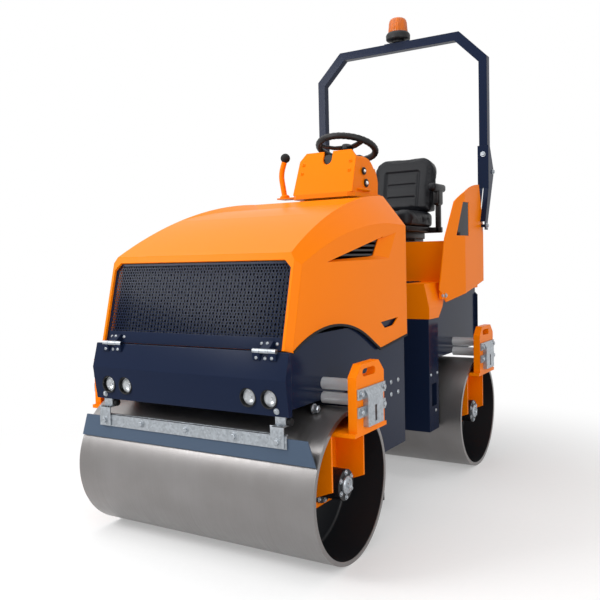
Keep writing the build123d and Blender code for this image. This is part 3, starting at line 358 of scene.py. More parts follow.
def place_piece(name, body, slot, mesh, crease=35):
    """Make an object of a bmesh in millimetres, shade it, finish it and let it ride on a body."""
    data = bpy.data.meshes.new(name)
    bmesh.ops.scale(mesh, vec=(MM, MM, MM), verts=mesh.verts)
    bmesh.ops.remove_doubles(mesh, verts=mesh.verts, dist=0.01 * MM)
    bmesh.ops.recalc_face_normals(mesh, faces=mesh.faces)
    mesh.to_mesh(data)
    mesh.free()
    data.polygons.foreach_set("use_smooth", [True] * len(data.polygons))
    data.set_sharp_from_angle(angle=math.radians(crease))
    piece = bpy.data.objects.new(name, data)
    bpy.context.scene.collection.objects.link(piece)
    data.materials.append(finish(slot))
    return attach(piece, body)


def facing(point, axis):
    """Give the matrix whose z runs along an axis from a point."""
    turn = Vector(axis).to_track_quat("Z", "Y").to_matrix().to_4x4()
    return Matrix.Translation(Vector(point)) @ turn


def circle(count):
    """Give points evenly round the unit circle."""
    angles = [2 * math.pi * step / count for step in range(count)]
    return [(math.cos(angle), math.sin(angle)) for angle in angles]


def lathe(mesh, profile, place, steps, flutes=0, depth=0.0):
    """Turn a profile of (radius, height) points about a placed z axis, with optional flutes round it."""
    rings = []
    for radius, height in profile:
        if radius == 0:
            rings.append([mesh.verts.new(place @ Vector((0, 0, height)))])
            continue
        ring = []
        for step, (across, up) in enumerate(circle(steps)):
            reach = radius + depth * math.cos(flutes * 2 * math.pi * step / steps)
            ring.append(mesh.verts.new(place @ Vector((reach * across, reach * up, height))))
        rings.append(ring)
    for low, high in zip(rings, rings[1:]):
        for step in range(steps):
            after = step + 1
            corners = ((low, step), (low, after), (high, after), (high, step))
            unique = list(dict.fromkeys(ring[i % len(ring)] for ring, i in corners))
            if len(unique) > 2:
                mesh.faces.new(unique)


def box(mesh, low, high, round_off, place=None):
    """Add a box between two corners with its edges rounded off."""
    made = bmesh.ops.create_cube(mesh, size=1)["verts"]
    for vert in made:
        vert.co = Vector((low[i] + high[i]) / 2 + vert.co[i] * (high[i] - low[i]) for i in range(3))
    edges = list(dict.fromkeys(edge for vert in made for edge in vert.link_edges))
    rounded = bmesh.ops.bevel(mesh, geom=edges, offset=round_off, segments=3, profile=0.5, affect="EDGES")
    if place:
        corners = {vert for face in rounded["faces"] for vert in face.verts}
        corners |= {vert for vert in made if vert.is_valid}
        bmesh.ops.transform(mesh, matrix=place, verts=list(corners))


def prism(mesh, near, far):
    """Add a closed solid between two outlines that have as many points."""
    ends = [[mesh.verts.new(point) for point in outline] for outline in (near, far)]
    for end in ends:
        mesh.faces.new(end)
    wall(mesh, *ends)


def wall(mesh, one, two):
    """Join two closed rings of vertices with faces."""
    for i in range(len(one)):
        mesh.faces.new((one[i], one[i - 1], two[i - 1], two[i]))


def sweep(mesh, path, section, closed=False):
    """Sweep a section of (across, up) offsets along points that each carry their two directions."""
    rings = [
        [mesh.verts.new(point + across * a + up * b) for a, b in section] for point, across, up in path
    ]
    for one, two in zip(rings, rings[1:]):
        wall(mesh, one, two)
    if closed:
        wall(mesh, rings[-1], rings[0])
    else:
        mesh.faces.new(rings[0])
        mesh.faces.new(rings[-1])


def arc(start, middle, end, steps):
    """Give points along the arc through three (y, z) points."""
    (ax, ay), (bx, by), (cx, cy) = start, middle, end
    d = 2 * (ax * (by - cy) + bx * (cy - ay) + cx * (ay - by))
    squares = [x * x + y * y for x, y in (start, middle, end)]
    ox = (squares[0] * (by - cy) + squares[1] * (cy - ay) + squares[2] * (ay - by)) / d
    oy = (squares[0] * (cx - bx) + squares[1] * (ax - cx) + squares[2] * (bx - ax)) / d
    first, last = math.atan2(ay - oy, ax - ox), math.atan2(cy - oy, cx - ox)
    turn = (last - first + math.pi) % (2 * math.pi) - math.pi
    radius = math.hypot(ax - ox, ay - oy)
    angles = [first + turn * i / steps for i in range(steps + 1)]
    return [(ox + radius * math.cos(a), oy + radius * math.sin(a)) for a in angles]


def along(points):
    """Give each point of a run with the way from the point before it to the point after it."""
    last = len(points) - 1
    return [(point, points[min(i + 1, last)] - points[max(i - 1, 0)]) for i, point in enumerate(points)]


def ribbon(side, x, start_y, run):
    """Give a sweep's path along a run of (y, z) points on one side, across it outwards."""
    path = []
    for point, ahead in along([Vector((side * x, start_y + y, z)) for y, z in run]):
        path.append((point, Vector((side, 0, 0)), Vector((0, -ahead.z, ahead.y)).normalized()))
    return path


def seated(node, point, axis):
    """Give the point where a fastener pressed along its axis meets a CAD piece."""
    reach = 60
    axis = Vector(axis).normalized()
    start = (Vector(point) + axis * reach) * MM
    found, place, _, _ = frame["nodes"][node].ray_cast(start, -axis, distance=2 * reach * MM)
    if not found:
        raise RuntimeError(f"no metal of {node} under a fastener at {tuple(point)}")
    return place / MM


def bolt(mesh, point, axis, radius):
    """Add a hexagon bolt head on its washer."""
    place = facing(point, axis)
    washer, rim, edge, top = (radius * share for share in (1.45, 0.2, 0.75, 0.9))
    lathe(mesh, ((0, 0), (washer, 0), (washer, rim), (0, rim)), place, 20)
    lathe(mesh, ((radius, rim), (radius, edge), (radius * 0.82, top), (0, top)), place, 6)


def dome(mesh, point, axis, radius):
    """Add a button head screw with a socket."""
    place = facing(point, axis)
    crown = [(radius * math.cos(a), radius * 0.6 * math.sin(a)) for a in (0, 0.35, 0.7, 1.0)]
    socket = ((radius * 0.38, radius * 0.56), (radius * 0.38, radius * 0.25), (0, radius * 0.25))
    lathe(mesh, (*crown, *socket), place, 18)


class RollerOperator(Operator):
    """Base of the dressing steps."""

    bl_options = {"REGISTER", "UNDO"}


class ROLLER_OT_finishes(RollerOperator):
    """Give every carried-over CAD piece the finish of its slot."""

    bl_idname = "roller.finishes"
    bl_label = "Finish the CAD pieces"

    def execute(self, context):
        for part in frame["record"]["subparts"]:
            piece = frame["nodes"][part["node"]]
            piece.data.materials.clear()
            piece.data.materials.append(finish(part["material_slot"]))
        return {"FINISHED"}


class ROLLER_OT_grille(RollerOperator):
    """Hang a punched sheet in the hood's window, over a plain foot strip and a dark radiator."""

    bl_idname = "roller.grille"
    bl_label = "Grille"

    half, height, lap = 456, 346, 12
    strip, corner = 52, 30
    border_thick, sheet_depth = 4, 2
    fin, core_front, core_back = 9, 52, 60

    def point(self, x, up, depth):
        """Place a point on the window's slant, at a depth behind the recessed sheet."""
        return MASK_FOOT + MASK_RUN * up - MASK_OUT * (MASK_RECESS + depth) + Vector((x, 0, 0))

    def execute(self, context):
        self.sheet()
        self.holes()
        self.radiator()
        return {"FINISHED"}

    def sheet(self):
        """Make the foot strip and the border that holds the punched sheet."""
        mesh = bmesh.new()
        side = self.half + self.lap
        top = self.height + self.lap
        bars = (
            ((-side, 0), (side, self.strip)),
            ((-side, self.strip), (-self.half + self.lap, top - self.corner)),
            ((self.half - self.lap, self.strip), (side, top - self.corner)),
            ((-side + self.corner, top - 2 * self.lap), (side - self.corner, top)),
        )
        for (x0, u0), (x1, u1) in bars:
            corners = ((x0, u0), (x1, u0), (x1, u1), (x0, u1))
            prism(mesh, *([self.point(x, u, d) for x, u in corners] for d in (0, self.border_thick)))
        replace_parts(place_piece("grille_border", "hood", "navy_paint", mesh), "grille")

    def holes(self):
        """Punch a six-sided hole in each cell of a honeycomb over the window."""
        mesh = bmesh.new()
        pitch = size_mm("pitch")
        cell = pitch / math.sqrt(3)
        hole = (pitch - size_mm("web")) / math.sqrt(3)
        rise, depth = 1.5 * cell, self.sheet_depth
        columns = int(2 * self.half / pitch)
        for row in range(int((self.height - self.strip) / rise) + 1):
            up = self.strip + row * rise
            for column in range(columns):
                x = (column - (columns - 1) / 2 + (row % 2) / 2) * pitch
                rings = [
                    [mesh.verts.new(self.point(x + reach * a, up + reach * b, depth)) for b, a in circle(6)]
                    for reach in (cell, hole)
                ]
                wall(mesh, *rings)
        place_piece("grille_sheet", "hood", "navy_paint", mesh)

    def radiator(self):
        """Set a folded radiator core behind the sheet."""
        mesh = bmesh.new()
        side = self.half + self.lap
        count = int(2 * side / self.fin)
        ends = (self.lap / 2, self.height + self.lap)
        folds = []
        for step in range(count + 1):
            x = -side + step * 2 * side / count
            depths = (self.core_back, self.core_front)
            for depth in reversed(depths) if step % 2 else depths:
                folds.append([mesh.verts.new(self.point(x, up, depth)) for up in ends])
        for one, two in zip(folds, folds[1:]):
            mesh.faces.new((one[0], two[0], two[1], one[1]))
        place_piece("radiator_core", "hood", "black_plastic", mesh)


class ROLLER_OT_hood_trim(RollerOperator):
    """Run a rubber edge along the hood's arched side edges."""

    bl_idname = "roller.hood_trim"
    bl_label = "Hood trim"

    arch = ((-238, 852), (96, 924), (385, 845))
    sill = ((505, 780), (806, 815))

    def execute(self, context):
        mesh = bmesh.new()
        width = size_mm("trim")
        for side in SIDES:
            path = ribbon(side, HOOD_X, FRONT_Y, (*arc(*self.arch, 24), *self.sill))
            sweep(mesh, path, ((-6, -2), (3, -2), (4, width / 2), (2.5, width), (0, width)))
        place_piece("hood_edge_trim", "hood", "black_rubber", mesh)
        return {"FINISHED"}


class ROLLER_OT_headlights(RollerOperator):
    """Set a dished reflector, a bulb cover and a fluted lens in each headlight."""

    bl_idname = "roller.headlights"
    bl_label = "Headlights"

    lamp_xs = (-411, -316, 316, 411)
    bulge = 11

    def execute(self, context):
        glass, bright = bmesh.new(), bmesh.new()
        low, high = in_mm(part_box("headlight_lenses"))
        radius = (high.z - low.z) / 2
        deep = high.y - low.y
        mouth = deep * 0.8
        bowl = [(radius * t, deep * 0.75 * t * t) for t in (0.0, 0.25, 0.5, 0.75, 0.97)]
        angles = (0, 0.4, 0.8, 1.1, 1.4)
        crown = [(radius * math.cos(a), mouth + self.bulge * math.sin(a)) for a in angles]
        for x in self.lamp_xs:
            place = facing((x, high.y, (high.z + low.z) / 2), FORWARDS)
            lathe(bright, bowl, place, 40, 20, 0.5)
            lathe(bright, ((0, mouth), (5, deep * 0.75), (6, 0)), place, 16)
            lathe(glass, (*crown, (0, mouth + self.bulge)), place, 40)
        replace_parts(place_piece("headlight_glass", "front_frame", "lamp_glass", glass), "headlight_lenses")
        place_piece("headlight_reflectors", "front_frame", "chrome", bright)
        return {"FINISHED"}


class ROLLER_OT_bolts(RollerOperator):
    """Fasten hinges, chin, clamps, plates and supports, and pin and web the hoop's sleeves."""

    bl_idname = "roller.bolts"
    bl_label = "Bolts"

    # Hinge leaves: screws either side of the middle, and how far up or down the slant they lie
    screw_shift, chin_run, mask_run = 35, 25, 26
    # Clamp ears: y from the axle, z, and how far their face stands off the arm
    ear_shifts, ear_zs, ear_off = (-96, 96), (690, 622), 8
    # Front side plates' screws, and the rear column's and the supports' (y, z)
    plate_screws = ((-200, 608), (-200, 550), (-119, 608), (-119, 550))
    column_screws = ((290, 571), (380, 571), (356, 372))
    support_bolts = ((420, 984), (452, 984))
    support_zs = (1090, 1200, 1310)
    support_x, bend_y, bend_angle = 553, 662, math.radians(11)
    sleeve_wide, web_thick = 66, 6
    lock_z, fold_z, tail_z = 1800, 1700, 1372
    # A stay's outline: y, and height over the seat box
    stay = ((846, -1), (1100, -1), (1100, 236), (1080, 256), (890, 256), (846, 212))
    stay_xs = (436, 444)

    def execute(self, context):
        self.front()
        self.hood()
        self.rear()
        self.hoop()
        return {"FINISHED"}

    def hinge_points(self, start, run, up, shifts):
        """Give points across each hinge on a slanted face."""
        for centre in HINGE_XS:
            for shift in shifts:
                yield start + run * up + Vector((centre + shift, 0, 0))

    def clamps(self, mesh, arm_x, axis_y):
        """Bolt the four ears of each clamp plate on an axle."""
        for side in SIDES:
            for shift in self.ear_shifts:
                for z in self.ear_zs:
                    point = (side * (arm_x + self.ear_off), axis_y + shift, z)
                    bolt(mesh, point, (side, 0, 0), size_mm("bolt"))

    def front(self):
        """Bolt the front frame's fittings."""
        mesh = bmesh.new()
        head, screw = size_mm("bolt"), size_mm("screw")
        self.clamps(mesh, FRONT_ARM_X, FRONT_Y)
        edge = self.screw_shift
        for shift, node in ((-edge, "hinge_fixed"), (0, "front_panel"), (edge, "hinge_fixed")):
            for point in self.hinge_points(CHIN_TOP, CHIN_RUN, self.chin_run, (shift,)):
                dome(mesh, seated(node, point, CHIN_OUT), CHIN_OUT, screw)
        for side in SIDES:
            point = CHIN_CREASE + CHIN_LOW_RUN * 118 + Vector((side * 440, 0, 0))
            bolt(mesh, point, CHIN_LOW_OUT, screw * 1.2)
            for y, z in self.plate_screws:
                dome(mesh, (side * FRONT_PLATE_X, y, z), (side, 0, 0), head)
            fitting = facing((side * FRONT_PLATE_X, FRONT_Y - 83, 616), (side, 0, 0))
            lathe(mesh, ((0, 0), (20, 0), (20, 6), (15, 8)), fitting, 24)
            lathe(mesh, ((15, 8), (15, 22), (11, 26), (0, 26)), fitting, 6)
        self.hinge_sleeves(mesh, ((-52, -21), (21, 52)))
        place_piece("front_bolts", "front_frame", "zinc", mesh)

    def hinge_sleeves(self, mesh, spans):
        """Sleeve the hinge knuckles in bright tube."""
        radius = 9.6
        for centre in HINGE_XS:
            for start, end in spans:
                tube = ((0, 0), (radius, 0), (radius, end - start), (0, end - start))
                lathe(mesh, tube, facing((centre + start, HINGE_Y, HINGE_Z), LEFT), 24)

    def hood(self):
        """Screw the moving hinge leaves to the grille's foot."""
        mesh = bmesh.new()
        screw = size_mm("screw")
        start = MASK_FOOT - MASK_OUT * MASK_RECESS
        edges = (-self.screw_shift, self.screw_shift)
        for point in self.hinge_points(start, MASK_RUN, self.mask_run, edges):
            dome(mesh, point, MASK_OUT, screw)
        for point in self.hinge_points(start, MASK_RUN, self.mask_run, (0,)):
            dome(mesh, seated("hinge_moving", point, MASK_OUT), MASK_OUT, screw)
        self.hinge_sleeves(mesh, ((-20, 20),))
        place_piece("hinge_screws", "hood", "zinc", mesh)

    def rear(self):
        """Bolt the rear frame's fittings."""
        mesh = bmesh.new()
        head, screw = size_mm("bolt"), size_mm("screw")
        self.clamps(mesh, REAR_ARM_X, REAR_Y)
        support = in_mm(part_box("rops_support_left"))[1]
        for side in SIDES:
            axis = (side, 0, 0)
            for y, z in self.column_screws:
                dome(mesh, (side * COLUMN_X, y, z), axis, head * 0.8)
            for y, z in self.support_bolts:
                bent = self.support_x - (self.bend_y - y) * math.tan(self.bend_angle)
                bolt(mesh, (side * bent, y, z), axis, head * 0.8)
            for z in self.support_zs:
                dome(mesh, (side * (support.x - 36), support.y, z), BACKWARDS, screw)
        low, high = in_mm(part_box("rear_panel"))
        for x in (low.x + 30, 0, high.x - 30):
            for z in (low.z + 50, high.z - 50):
                dome(mesh, (x, high.y, z), BACKWARDS, screw)
        place_piece("rear_bolts", "rear_frame", "zinc", mesh)

    def plate(self, mesh, side, xs, outline):
        """Add a plate of (y, z) corners between two x values on one side."""
        prism(mesh, *([(side * x, y, z) for y, z in outline] for x in xs))

    def hoop(self):
        """Pin and lock the hoop's sleeves, close their tails and stay the supports on the seat box."""
        mesh, web = bmesh.new(), bmesh.new()
        head = size_mm("bolt")
        outer = in_mm(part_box("rops_sleeves"))[1].x
        sheet = in_mm(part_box("rops_support_left"))[1].x
        box_top = in_mm(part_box("seat_box"))[1].z
        front_y, foot_y, thick = POST_Y - 6, REAR_Y + 212, self.web_thick
        tail = ((front_y, 1600), (foot_y, 1396), (foot_y + thick, 1396), (front_y + thick, 1600))
        for side in SIDES:
            for y, z in ((POST_Y + 76, self.fold_z), (REAR_Y + 236, self.tail_z)):
                bolt(mesh, (side * outer, y, z), (side, 0, 0), head * 1.1)
                bolt(mesh, (side * (outer - self.sleeve_wide), y, z), (-side, 0, 0), head * 1.1)
            bolt(mesh, (side * (outer - self.sleeve_wide / 2), front_y, self.lock_z), FORWARDS, head)
            for xs in ((outer - 60, sheet - thick), (sheet, outer - thick)):
                self.plate(web, side, xs, tail)
            self.plate(web, side, self.stay_xs, [(y, box_top + rise) for y, rise in self.stay])
        place_piece("hoop_pins", "rear_frame", "zinc", mesh)
        place_piece("hoop_webs", "rear_frame", "navy_paint", web)


class ROLLER_OT_scraper(RollerOperator):
    """Hang the scraper's angle from the chin on tabs, lugs and rubber bushes, and bolt the blade to it."""

    bl_idname = "roller.scraper"
    bl_label = "Scraper bracket"

    sheet, flange, tab, chin_z = 6, 14, 60, 622
    angle_tall, tab_rise, tab_inset, bolt_rise = 55, 32, 38, 25
    blade_bolts = (-240, 0, 240)
    bush = ((0, 0), (15, 0), (15, 14), (12, 18), (0, 18))

    def execute(self, context):
        metal, bush = bmesh.new(), bmesh.new()
        head, sheet = size_mm("bolt"), self.sheet
        low, high = in_mm(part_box("front_scraper_bar"))
        half, face = high.x, low.y
        foot, top = low.z, low.z + self.angle_tall
        tab_top = top + self.tab_rise
        box(metal, (-half, face, foot), (half, face + sheet, top), 1.2)
        box(metal, (-half, face, top - sheet), (half, face + self.flange, top), 1.2)
        for side in SIDES:
            centre = side * (half - self.tab_inset)
            left, right = centre - self.tab / 2, centre + self.tab / 2
            box(metal, (left, face - sheet, foot + 3), (right, face, tab_top), 1.5)
            box(metal, (left + 8, face - sheet, tab_top - sheet), (right, face + 44, tab_top), 1.5)
            box(metal, (left + 14, face + 8, tab_top), (right, face + 50, self.chin_z), 3)
            bolt(metal, (centre, face - sheet, foot + self.bolt_rise), FORWARDS, head)
            lathe(bush, self.bush, facing((right, face + 28, tab_top + 12), LEFT), 28)
        for x in self.blade_bolts:
            bolt(metal, (x, face, foot + self.bolt_rise), FORWARDS, head)
        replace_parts(place_piece("scraper_bracket", "front_frame", "zinc", metal), "front_scraper_bar")
        place_piece("scraper_bushes", "front_frame", "black_rubber", bush)
        return {"FINISHED"}


class ROLLER_OT_hubs(RollerOperator):
    """Cap each hub motor in bright metal, bolt its flange, and coat the drums' ends dark inside: partly
    their dark enamel, partly painted shade for the hollow of each open end.
    """

    bl_idname = "roller.hubs"
    bl_label = "Hub motors and drum ends"

    cap = ((0, 0), (36, 0), (36, 8), (31, 13), (24, 14), (22, 10), (10, 10), (8, 16), (0, 17))
    # Bolt rings: how many, ring radius, x of their face, head radius
    rings = ((6, 49, HUB_X, 7.5), (10, 75, 471, 7))
    # Dark coat over the head and the inside of the shell, with a weld run between them; partly enamel,
    # partly painted shade for the hollow
    enamel_and_shade_coat = ((88, 0.6), (274, 0.6), (279, 2), (284, 6), (286.4, 12), (286.4, 183))
    head_x = 414

    def execute(self, context):
        for name, axis_y in (("front", FRONT_Y), ("rear", REAR_Y)):
            bright, enamel_and_shade_mesh = bmesh.new(), bmesh.new()
            for side in SIDES:
                axis = (side, 0, 0)
                lathe(bright, self.cap, facing((side * HUB_X, axis_y, AXLE_Z), axis), 36)
                for count, ring, x, radius in self.rings:
                    for step in range(count):
                        angle = 2 * math.pi * (step + 0.5) / count
                        y, z = axis_y + ring * math.cos(angle), AXLE_Z + ring * math.sin(angle)
                        bolt(bright, (side * x, y, z), axis, radius)
                # Dark coat inside each drum end: painted shade for its hollow as well as the drum's enamel
                lathe(enamel_and_shade_mesh, self.enamel_and_shade_coat, facing((side * self.head_x, axis_y, AXLE_Z), axis), 96)
            place_piece(f"{name}_hub_caps", f"{name}_frame", "zinc", bright)
            place_piece(f"{name}_drum_ends_enamel_and_shade", f"{name}_drum", "black_steel", enamel_and_shade_mesh)
        return {"FINISHED"}


class ROLLER_OT_seat(RollerOperator):
    """Stuff the seat's cushion and back as swollen pads with sewn channels, on a frame with armrests."""

    bl_idname = "roller.seat"
    bl_label = "Seat"

    back_lean = math.radians(12)
    start_share, pressure = 0.965, 4
    # Seams in metres: half width of a groove, its depth, and how far the inset panel is sunk
    groove_half, groove_deep, panel_deep = 6 * MM, 7 * MM, 5 * MM
    handle = ((0, 0), (6, 0), (6, 290), (9, 292), (9, 330), (0, 330))

    def execute(self, context):
        cushion = self.pad("seat_cushion", Vector(BACKWARDS), Vector(UP), (0.6, 0.1, 0.8), (0.33, 0.57))
        rise = Vector((0, math.sin(self.back_lean), math.cos(self.back_lean)))
        out = Vector((0, -math.cos(self.back_lean), math.sin(self.back_lean)))
        back = self.pad("seat_back", rise, out, (0.54, 0.02, 0.72), (0.26, 0.49))
        self.weld_frame()
        return {"FINISHED"}

    def pad(self, node, rise, out, panel, channels):
        """Swell a copy of a CAD pad as cloth under pressure, then sew channels into its face."""
        source = frame["nodes"][node]
        data = source.data.copy()
        data.name = f"{node}_pad"
        middle = sum((Vector(c) for c in source.bound_box), Vector()) / 8
        shrink = Matrix.Scale(self.start_share, 4)
        data.transform(Matrix.Translation(middle) @ shrink @ Matrix.Translation(-middle))
        piece = bpy.data.objects.new(f"{node}_pad", data)
        bpy.context.scene.collection.objects.link(piece)
        grid = piece.modifiers.new("Remesh", "REMESH")
        grid.mode = "VOXEL"
        grid.voxel_size = sizes().voxel
        self.smooth(piece, 14)
        self.swell(piece)
        self.sew(piece, rise, out, panel, channels)
        piece.data.materials.clear()
        piece.data.materials.append(finish("black_vinyl"))
        piece.data.polygons.foreach_set("use_smooth", [True] * len(piece.data.polygons))
        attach(piece, "rear_frame")
        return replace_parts(piece, node)

    def smooth(self, piece, rounds):
        """Ease a piece's surface and turn its modifiers into its mesh."""
        ease = piece.modifiers.new("Smooth", "SMOOTH")
        ease.factor = 0.5
        ease.iterations = rounds
        self.bake(piece)

    def bake(self, piece):
        """Turn a piece's modifiers into its mesh."""
        bpy.context.view_layer.update()
        graph = bpy.context.evaluated_depsgraph_get()
        data = bpy.data.meshes.new_from_object(piece.evaluated_get(graph))
        piece.modifiers.clear()
        piece.data = data

    def swell(self, piece):
        """Run the cloth under pressure and keep how far each point moved within the cap."""
        size = sizes()
        rest = [vert.co.copy() for vert in piece.data.vertices]
        cloth = piece.modifiers.new("Cloth", "CLOTH")
        cloth.settings.use_pressure = True
        cloth.settings.uniform_pressure_force = self.pressure
        cloth.settings.effector_weights.gravity = 0
        cloth.point_cache.frame_start = 1
        cloth.point_cache.frame_end = size.frames
        for step in range(1, size.frames + 1):
            bpy.context.scene.frame_set(step)
        self.bake(piece)
        bpy.context.scene.frame_set(1)
        for vert, start in zip(piece.data.vertices, rest):
            moved = vert.co - start
            if moved.length > size.swell:
                vert.co = start + moved.normalized() * size.swell
        self.smooth(piece, 6)

    def sew(self, piece, rise, out, panel, channels):
        """Press seams into the face: round an inset panel and across it between its ribs."""
        data = piece.data
        edge, low, high = panel
        across = [vert.co.x for vert in data.vertices]
        centre, half = (min(across) + max(across)) / 2, (max(across) - min(across)) / 2
        heights = [vert.co.dot(rise) for vert in data.vertices]
        foot, span = min(heights), max(heights) - min(heights)
        normals = [vert.normal.copy() for vert in data.vertices]
        for vert, normal, height in zip(data.vertices, normals, heights):
            if normal.dot(out) < 0.3:
                continue
            u = abs(vert.co.x - centre) / half
            v = (height - foot) / span
            gaps = [1.0]
            if low < v < high:
                gaps.append(abs(u - edge) * half)
            if u < edge:
                gaps += [abs(v - level) * span for level in (low, high)]
            if low < v < high and u < edge - 0.09:
                gaps += [abs(v - level) * span for level in channels]
            groove = min(gaps) / self.groove_half
            sunk = self.panel_deep if low < v < high and u < edge else 0.0
            vert.co -= out * (sunk + self.groove_deep * math.exp(-groove * groove))

    def weld_frame(self):
        """Weld the seat's frame: slide rails, pan, struts and hinge covers, with a pad on each armrest."""
        metal, soft = bmesh.new(), bmesh.new()
        low, high = in_mm(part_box("seat_base"))
        middle = (low.x + high.x) / 2
        pan_z = in_mm(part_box("seat_cushion"))[0].z
        rail_z = low.z + 24
        box(metal, (middle - 148, low.y + 48, rail_z), (middle + 148, high.y - 46, pan_z - 30), 6)
        box(metal, (middle - 186, low.y + 20, pan_z - 34), (middle + 186, high.y - 20, pan_z), 8)
        lathe(metal, self.handle, facing((middle - 130, low.y + 84, low.z + 17), LEFT), 16)
        front, back = high.y - 80, high.y - 42
        for side in SIDES:
            rail = middle + side * 112
            box(metal, (rail - 20, low.y + 30, low.z), (rail + 20, high.y - 34, rail_z + 2), 4)
            left, right = sorted(middle + side * x for x in (220, 264))
            link = sorted(middle + side * x for x in (140, 264))
            box(metal, (link[0], front, pan_z - 38), (link[1], back, pan_z - 4), 6)
            box(metal, (left + 8, front, pan_z - 38), (right - 8, back, high.z - 60), 7)
            box(metal, (left + 2, front - 26, high.z - 150), (right - 2, back + 20, high.z - 50), 14)
            box(soft, (left - 3, high.y - 175, high.z - 68), (right + 3, high.y + 16, high.z - 20), 17)
        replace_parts(place_piece("seat_frame", "rear_frame", "black_plastic", metal, 50), "seat_base")
        pads = place_piece("armrest_pads", "rear_frame", "black_vinyl", soft, 60)


class ROLLER_OT_console(RollerOperator):
    """Fit the console with dash panels, gauges, switches, a rail and screws, and bend its lever."""

    bl_idname = "roller.console"
    bl_label = "Console"

    tray = ((-580, 1734), (-440, 1686), (-408, 1592))
    tray_x, tray_half, panel_thick = 92, 60, 6
    rail_z, rail_radius = 1556, 7
    # Rail points: x out from the wall, y, and how far the rail has turned along y there
    rail = ((0, 84, -1), (10, 87, -0.7), (15, 96, 0), (15, 190, 0), (10, 199, 0.7), (0, 202, 1))
    # Front panel: rise and run of its slant, its foot's z and y behind the rear axle
    slant_rise, slant_run, slant_z, slant_y = 228, 84, 1540, -706
    lever_radius, knob_radius = 15, 26.5
    collar = ((0, 0), (27, 0), (27, 10), (22, 16), (15, 18))

    def execute(self, context):
        self.dash()
        self.side()
        self.screws()
        self.lever()
        return {"FINISHED"}

    def dash(self):
        """Lay a dark panel in the tray on each side of the column, with a gauge and three switches."""
        panel, bright, dial = bmesh.new(), bmesh.new(), bmesh.new()
        half, thick = self.tray_half, self.panel_thick
        for side in SIDES:
            path = ribbon(side, self.tray_x, REAR_Y, arc(*self.tray, 10))
            sweep(panel, path, ((-half, 0), (half, 0), (half, thick), (-half, thick)))
            point, _, up = path[3]
            gauge = facing(point + up * thick, up)
            lathe(bright, ((26, 0), (30, 0), (30, 6), (26, 8)), gauge, 40)
            lathe(dial, ((0, 5), (26, 5), (26, 0)), gauge, 40)
            point, _, up = path[6]
            for shift in (-34, 0, 34):
                key = facing(point + up * thick + Vector((shift, 0, 0)), up)
                box(panel, (-11, -16, 0), (11, 16, 9), 2, key)
        place_piece("dash_panels", "rear_frame", "black_plastic", panel)
        place_piece("gauge_bezels", "rear_frame", "chrome", bright)
        place_piece("gauge_faces", "rear_frame", "black_plastic", dial)

    def side(self):
        """Set a gauge, a key switch and a rail on the console's left side."""
        dark, bright, rail = bmesh.new(), bmesh.new(), bmesh.new()
        wall_x = in_mm(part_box("console"))[1].x
        for y, z, radius in ((154, 1655, 20), (179, 1594, 22)):
            place = facing((wall_x, y, z), LEFT)
            ring = ((radius, 0), (radius, 5), (radius - 4, 8), (radius - 6, 5), (0, 5))
            lathe(dark, ring, place, 36)
            core = ((radius - 11, 5), (radius - 12, 10), (radius - 14, 12), (0, 12))
            lathe(bright, core, place, 24)
        path = []
        for x, y, turn in self.rail:
            out = Vector((1 - abs(turn), turn, 0)).normalized() * self.rail_radius
            path.append((Vector((wall_x + x, y, self.rail_z)), out, Vector(UP) * self.rail_radius))
        sweep(rail, path, circle(12))
        place_piece("key_switch_ring", "rear_frame", "black_plastic", dark)
        place_piece("side_gauge", "rear_frame", "chrome", bright)
        place_piece("console_rail", "rear_frame", "orange_paint", rail)

    def screws(self):
        """Fasten the console's front panel with painted button heads."""
        mesh = bmesh.new()
        out = Vector((0, -self.slant_rise, self.slant_run)).normalized()
        for side in SIDES:
            for z in (1655, 1704):
                y = REAR_Y + self.slant_y + (z - self.slant_z) / self.slant_rise * self.slant_run
                dome(mesh, (side * 142, y, z), out, size_mm("bolt") * 0.9)
        place_piece("console_screws", "rear_frame", "orange_paint", mesh)

    def lever(self):
        """Bend the drive lever from bar, with a collar at its foot and a ball knob."""
        knob, bar = bmesh.new(), bmesh.new()
        low, high = in_mm(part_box("drive_lever"))
        lever_y = (low.y + high.y) / 2
        spots = ((-309, 1541), (-332, 1673), (-296, 1775))
        foot, bend, top = (Vector((x, lever_y, z)) for x, z in spots)
        start, end = foot.lerp(bend, 0.7), bend.lerp(top, 0.35)
        run = [foot]
        for share in (step / 8 for step in range(9)):
            run.append(start.lerp(bend, share).lerp(bend.lerp(end, share), share))
        across = Vector(BACKWARDS)
        path = []
        for point, ahead in along([*run, top]):
            over = across.cross(ahead.normalized())
            path.append((point, over * self.lever_radius, across * self.lever_radius))
        sweep(bar, path, circle(20))
        lathe(bar, self.collar, facing((foot.x, foot.y, low.z), (-0.17, 0, 1)), 32)
        tip = (top - bend).normalized()
        radius = self.knob_radius
        angles = [math.pi * (i / 14 - 0.5) for i in range(1, 14)]
        ball = [(0, -radius), *((radius * math.cos(a), radius * math.sin(a)) for a in angles), (0, radius)]
        lathe(knob, ball, facing(top - tip * 13, tip), 32)
        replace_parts(place_piece("lever_bar", "rear_frame", "orange_paint", bar), "drive_lever")
        place_piece("lever_knob", "rear_frame", "black_rubber", knob)


